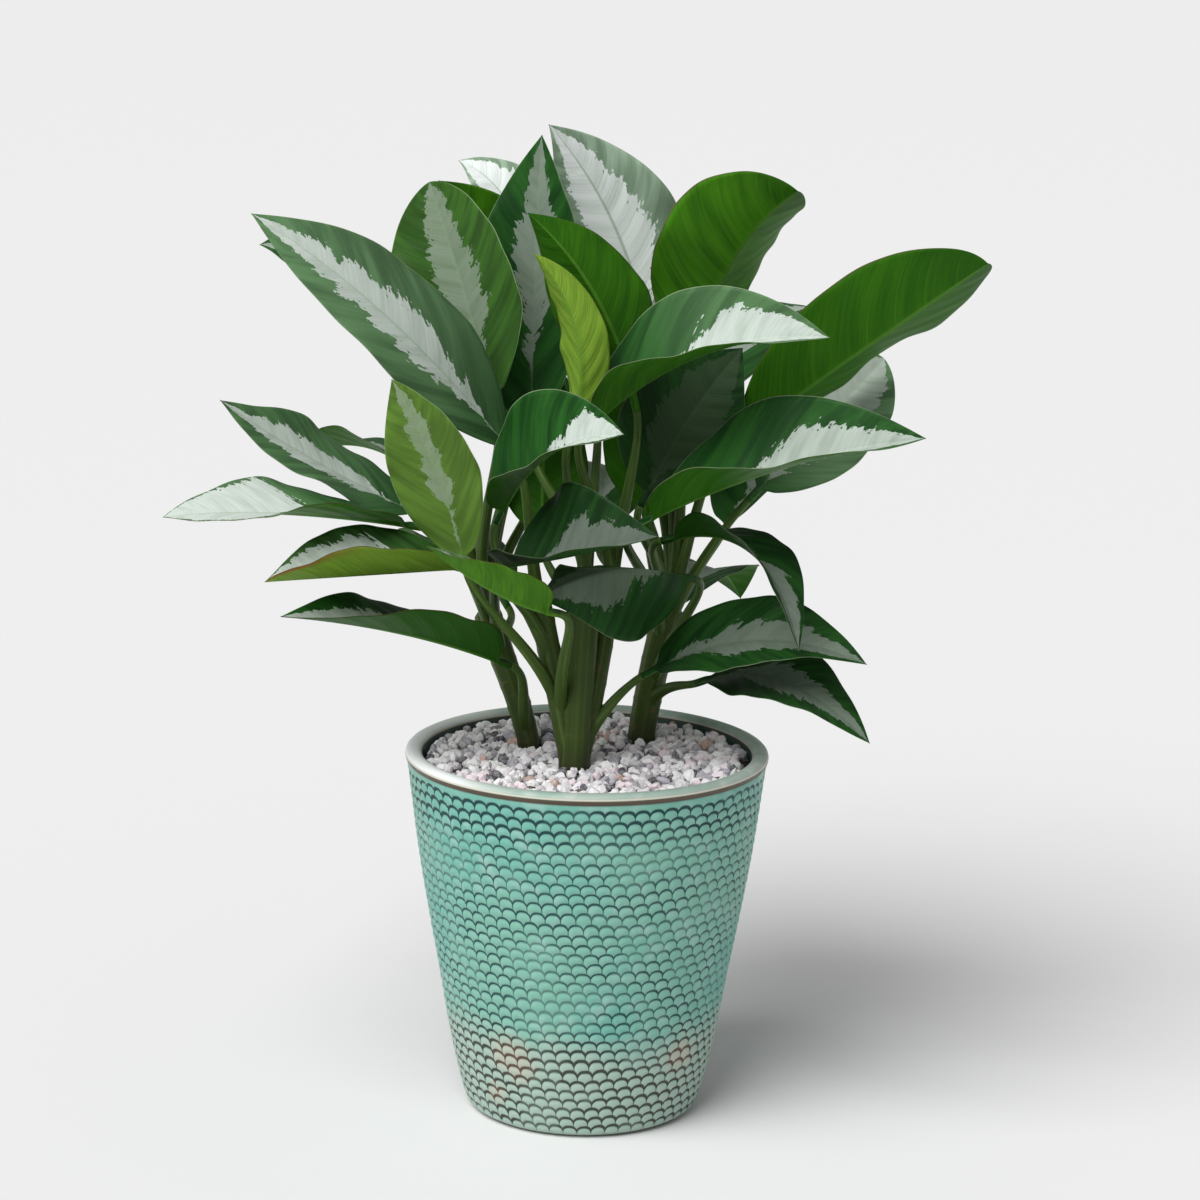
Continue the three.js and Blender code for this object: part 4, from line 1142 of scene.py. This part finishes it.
def stem_material(sizes):
    """Living stalk: olive green with paler and darker streaks along it, browner near the
    gravel. The mark age is 1 on a cane and falls to 0 along a petiole."""
    s = Shader("stem")
    place = s.place()
    age, turn = s.mark("age"), s.mark("turn")
    streak = s.noise(s.vector(turn * 7.0, age * 3.0, 0.0), 1.0, 3.0)
    height = s.axes(place)[2] / MM
    green = s.blend(sizes.green, sizes.cane, s.ease(age, 0.3, 1.0))
    green = s.blend(green, PALE_STREAK, s.ease(streak, 0.5, 0.72) * 0.7)
    green = s.blend(green, DARK_STREAK, s.ease(streak, 0.45, 0.3) * 0.6)
    green = s.blend(green, NEAR_GRAVEL, s.ease(height, 262.0, 240.0) * 0.6)
    green = s.blend(green, BROWN_SCAR, s.ease(s.noise(place, 150.0, 3.0), 0.6, 0.72)
                    * s.ease(age, 0.6, 1.0) * 0.5)
    grain = streak + s.noise(place, 400.0, 2.0) * 0.3
    return s.finish(green, 0.45, s.bump(grain, 0.0008, 0.5), Specular_IOR_Level=0.2)


class BuildStems(bpy.types.Operator):
    """Build the three clumps of canes with their petioles"""
    bl_idname = "aglaonema.stems"
    bl_label = "Stems"

    def execute(self, context):
        material = stem_material(context.scene.aglaonema_stems)
        leaves = [read_leaf(name) for name in LEAVES]
        for clump in ("left", "centre", "right"):
            names = [n for n in CANES if n.startswith(clump)]
            tubes = [(*cane(n), True) for n in names]
            tubes += [(*petiole(leaf), False) for leaf in leaves if leaf["cane"] in names]
            points, faces, age, turn, first = [], [], [], [], 0
            for rings, t, is_cane in tubes:
                rows, sides = rings.shape[:2]
                points.append(rings.reshape(-1, 3))
                faces += [ring_faces(rows, sides, first)[0], *caps(rows, sides, first)]
                age.append(np.repeat(1 + 0 * t if is_cane else 0.8 - 0.8 * t, sides))
                around = np.abs(np.linspace(-1, 1, sides, endpoint=False))
                turn.append(np.tile(around, rows) + first * 0.01)
                first += rows * sides
            put_piece(f"stems_{clump}", np.vstack(points), faces, [material],
                      [f"stem_{clump}"], marks={"age": np.concatenate(age),
                                                "turn": np.concatenate(turn)})
        return {"FINISHED"}


# Stage

FLOOR_REACH = 30                 # metres, so that the floor runs out of sight
TO_DAYLIGHT = (-0.9, -1.15, 1.9)
FRAME_WIDTH = 36                 # of the camera's film, in real millimetres


class StageSizes(bpy.types.PropertyGroup):
    """Floor, lights and camera."""
    floor: FloatVectorProperty(name="Floor", description="Colour of the floor",
                               subtype="COLOR", default=(0.78, 0.78, 0.78))
    sky: FloatProperty(name="Sky", description="Strength of the even light all round",
                       default=0.32, min=0)
    sun: FloatProperty(name="Daylight", description="Strength of the soft light from one side",
                       default=3.2, min=0)
    softness: FloatProperty(name="Softness", description="Width of the soft light in the sky",
                            default=math.radians(45), subtype="ANGLE", min=0)
    lens: FloatProperty(name="Lens", description="Focal length on a 36 mm frame", default=108.0,
                        unit="CAMERA", min=10)
    pitch: FloatProperty(name="Pitch", description="How far the camera looks down",
                         default=math.radians(12.5), subtype="ANGLE")
    roll: FloatProperty(name="Roll", description="How far the camera leans",
                        default=math.radians(1.0), subtype="ANGLE")
    spot: FloatVectorProperty(name="Camera place", description="Where the camera stands",
                              subtype="TRANSLATION", unit="LENGTH",
                              default=(0.006813, -2.300412, 0.854360))


class BuildStage(bpy.types.Operator):
    """Set up the floor, the soft lights and the camera"""
    bl_idname = "aglaonema.stage"
    bl_label = "Stage"

    def execute(self, context):
        scene, sizes = context.scene, context.scene.aglaonema_stage
        shader = Shader("floor")
        material = shader.finish(tuple(sizes.floor), 0.8, Specular_IOR_Level=0.2)
        mesh = bpy.data.meshes.new("floor")
        corners = [(-1, -1), (1, -1), (1, 1), (-1, 1)]
        mesh.from_pydata([(x * FLOOR_REACH, y * FLOOR_REACH, 0) for x, y in corners], [],
                         [(0, 1, 2, 3)])
        mesh.materials.append(material)
        floor = bpy.data.objects.new("floor", mesh)
        scene.collection.objects.link(floor)
        world = bpy.data.worlds.new("sky")
        world.use_nodes = True
        background = world.node_tree.nodes["Background"]
        background.inputs["Color"].default_value = (1, 1, 1, 1)
        background.inputs["Strength"].default_value = sizes.sky
        scene.world = world
        data = bpy.data.lights.new("daylight", "SUN")
        data.energy, data.angle = sizes.sun, sizes.softness
        light = bpy.data.objects.new("daylight", data)
        back = unit(np.array(TO_DAYLIGHT))
        level = unit(np.cross((0.0, 0.0, 1.0), back))
        turn = Matrix(np.column_stack([level, np.cross(back, level), back]).tolist())
        light.matrix_world = turn.to_4x4()
        scene.collection.objects.link(light)
        camera = bpy.data.objects.new("camera", bpy.data.cameras.new("camera"))
        camera.data.lens = sizes.lens
        camera.data.sensor_width = FRAME_WIDTH
        p, r = sizes.pitch, sizes.roll
        forward = np.array([0, math.cos(p), -math.sin(p)])
        level = np.array([1.0, 0, 0])
        up = np.cross(level, forward)
        right = level * math.cos(r) + up * math.sin(r)
        turn = Matrix(np.column_stack([right, np.cross(right, forward), -forward]).tolist())
        camera.matrix_world = Matrix.Translation(sizes.spot) @ turn.to_4x4()
        scene.collection.objects.link(camera)
        scene.camera = camera
        scene.view_settings.view_transform = "Standard"
        return {"FINISHED"}


class AglaonemaPanel(bpy.types.Panel):
    """Lists the builders and their sizes"""
    bl_idname = "VIEW3D_PT_aglaonema"
    bl_label = "Potted aglaonema"
    bl_space_type = "VIEW_3D"
    bl_region_type = "UI"
    bl_category = "Aglaonema"

    def draw(self, context):
        for key, (group, builder) in PARTS.items():
            box = self.layout.box()
            box.operator(builder.bl_idname)
            for field in group.__annotations__:
                box.prop(getattr(context.scene, key), field)


PARTS = {
    "aglaonema_stage": (StageSizes, BuildStage),
    "aglaonema_pot": (PotSizes, BuildPot),
    "aglaonema_filling": (FillingSizes, BuildFilling),
    "aglaonema_stems": (StemSizes, BuildStems),
    "aglaonema_leaves": (LeafSizes, BuildLeaves),
}


def register():
    for key, (group, builder) in PARTS.items():
        bpy.utils.register_class(group)
        bpy.utils.register_class(builder)
        setattr(bpy.types.Scene, key, PointerProperty(type=group))
    bpy.utils.register_class(AglaonemaPanel)


def unregister():
    bpy.utils.unregister_class(AglaonemaPanel)
    for key, (group, builder) in PARTS.items():
        delattr(bpy.types.Scene, key)
        bpy.utils.unregister_class(builder)
        bpy.utils.unregister_class(group)


def main():
    register()
    bpy.ops.aglaonema.stage()
    bpy.ops.aglaonema.pot()
    bpy.ops.aglaonema.filling()
    bpy.ops.aglaonema.stems()
    bpy.ops.aglaonema.leaves()


if __name__ == "__main__":
    main()
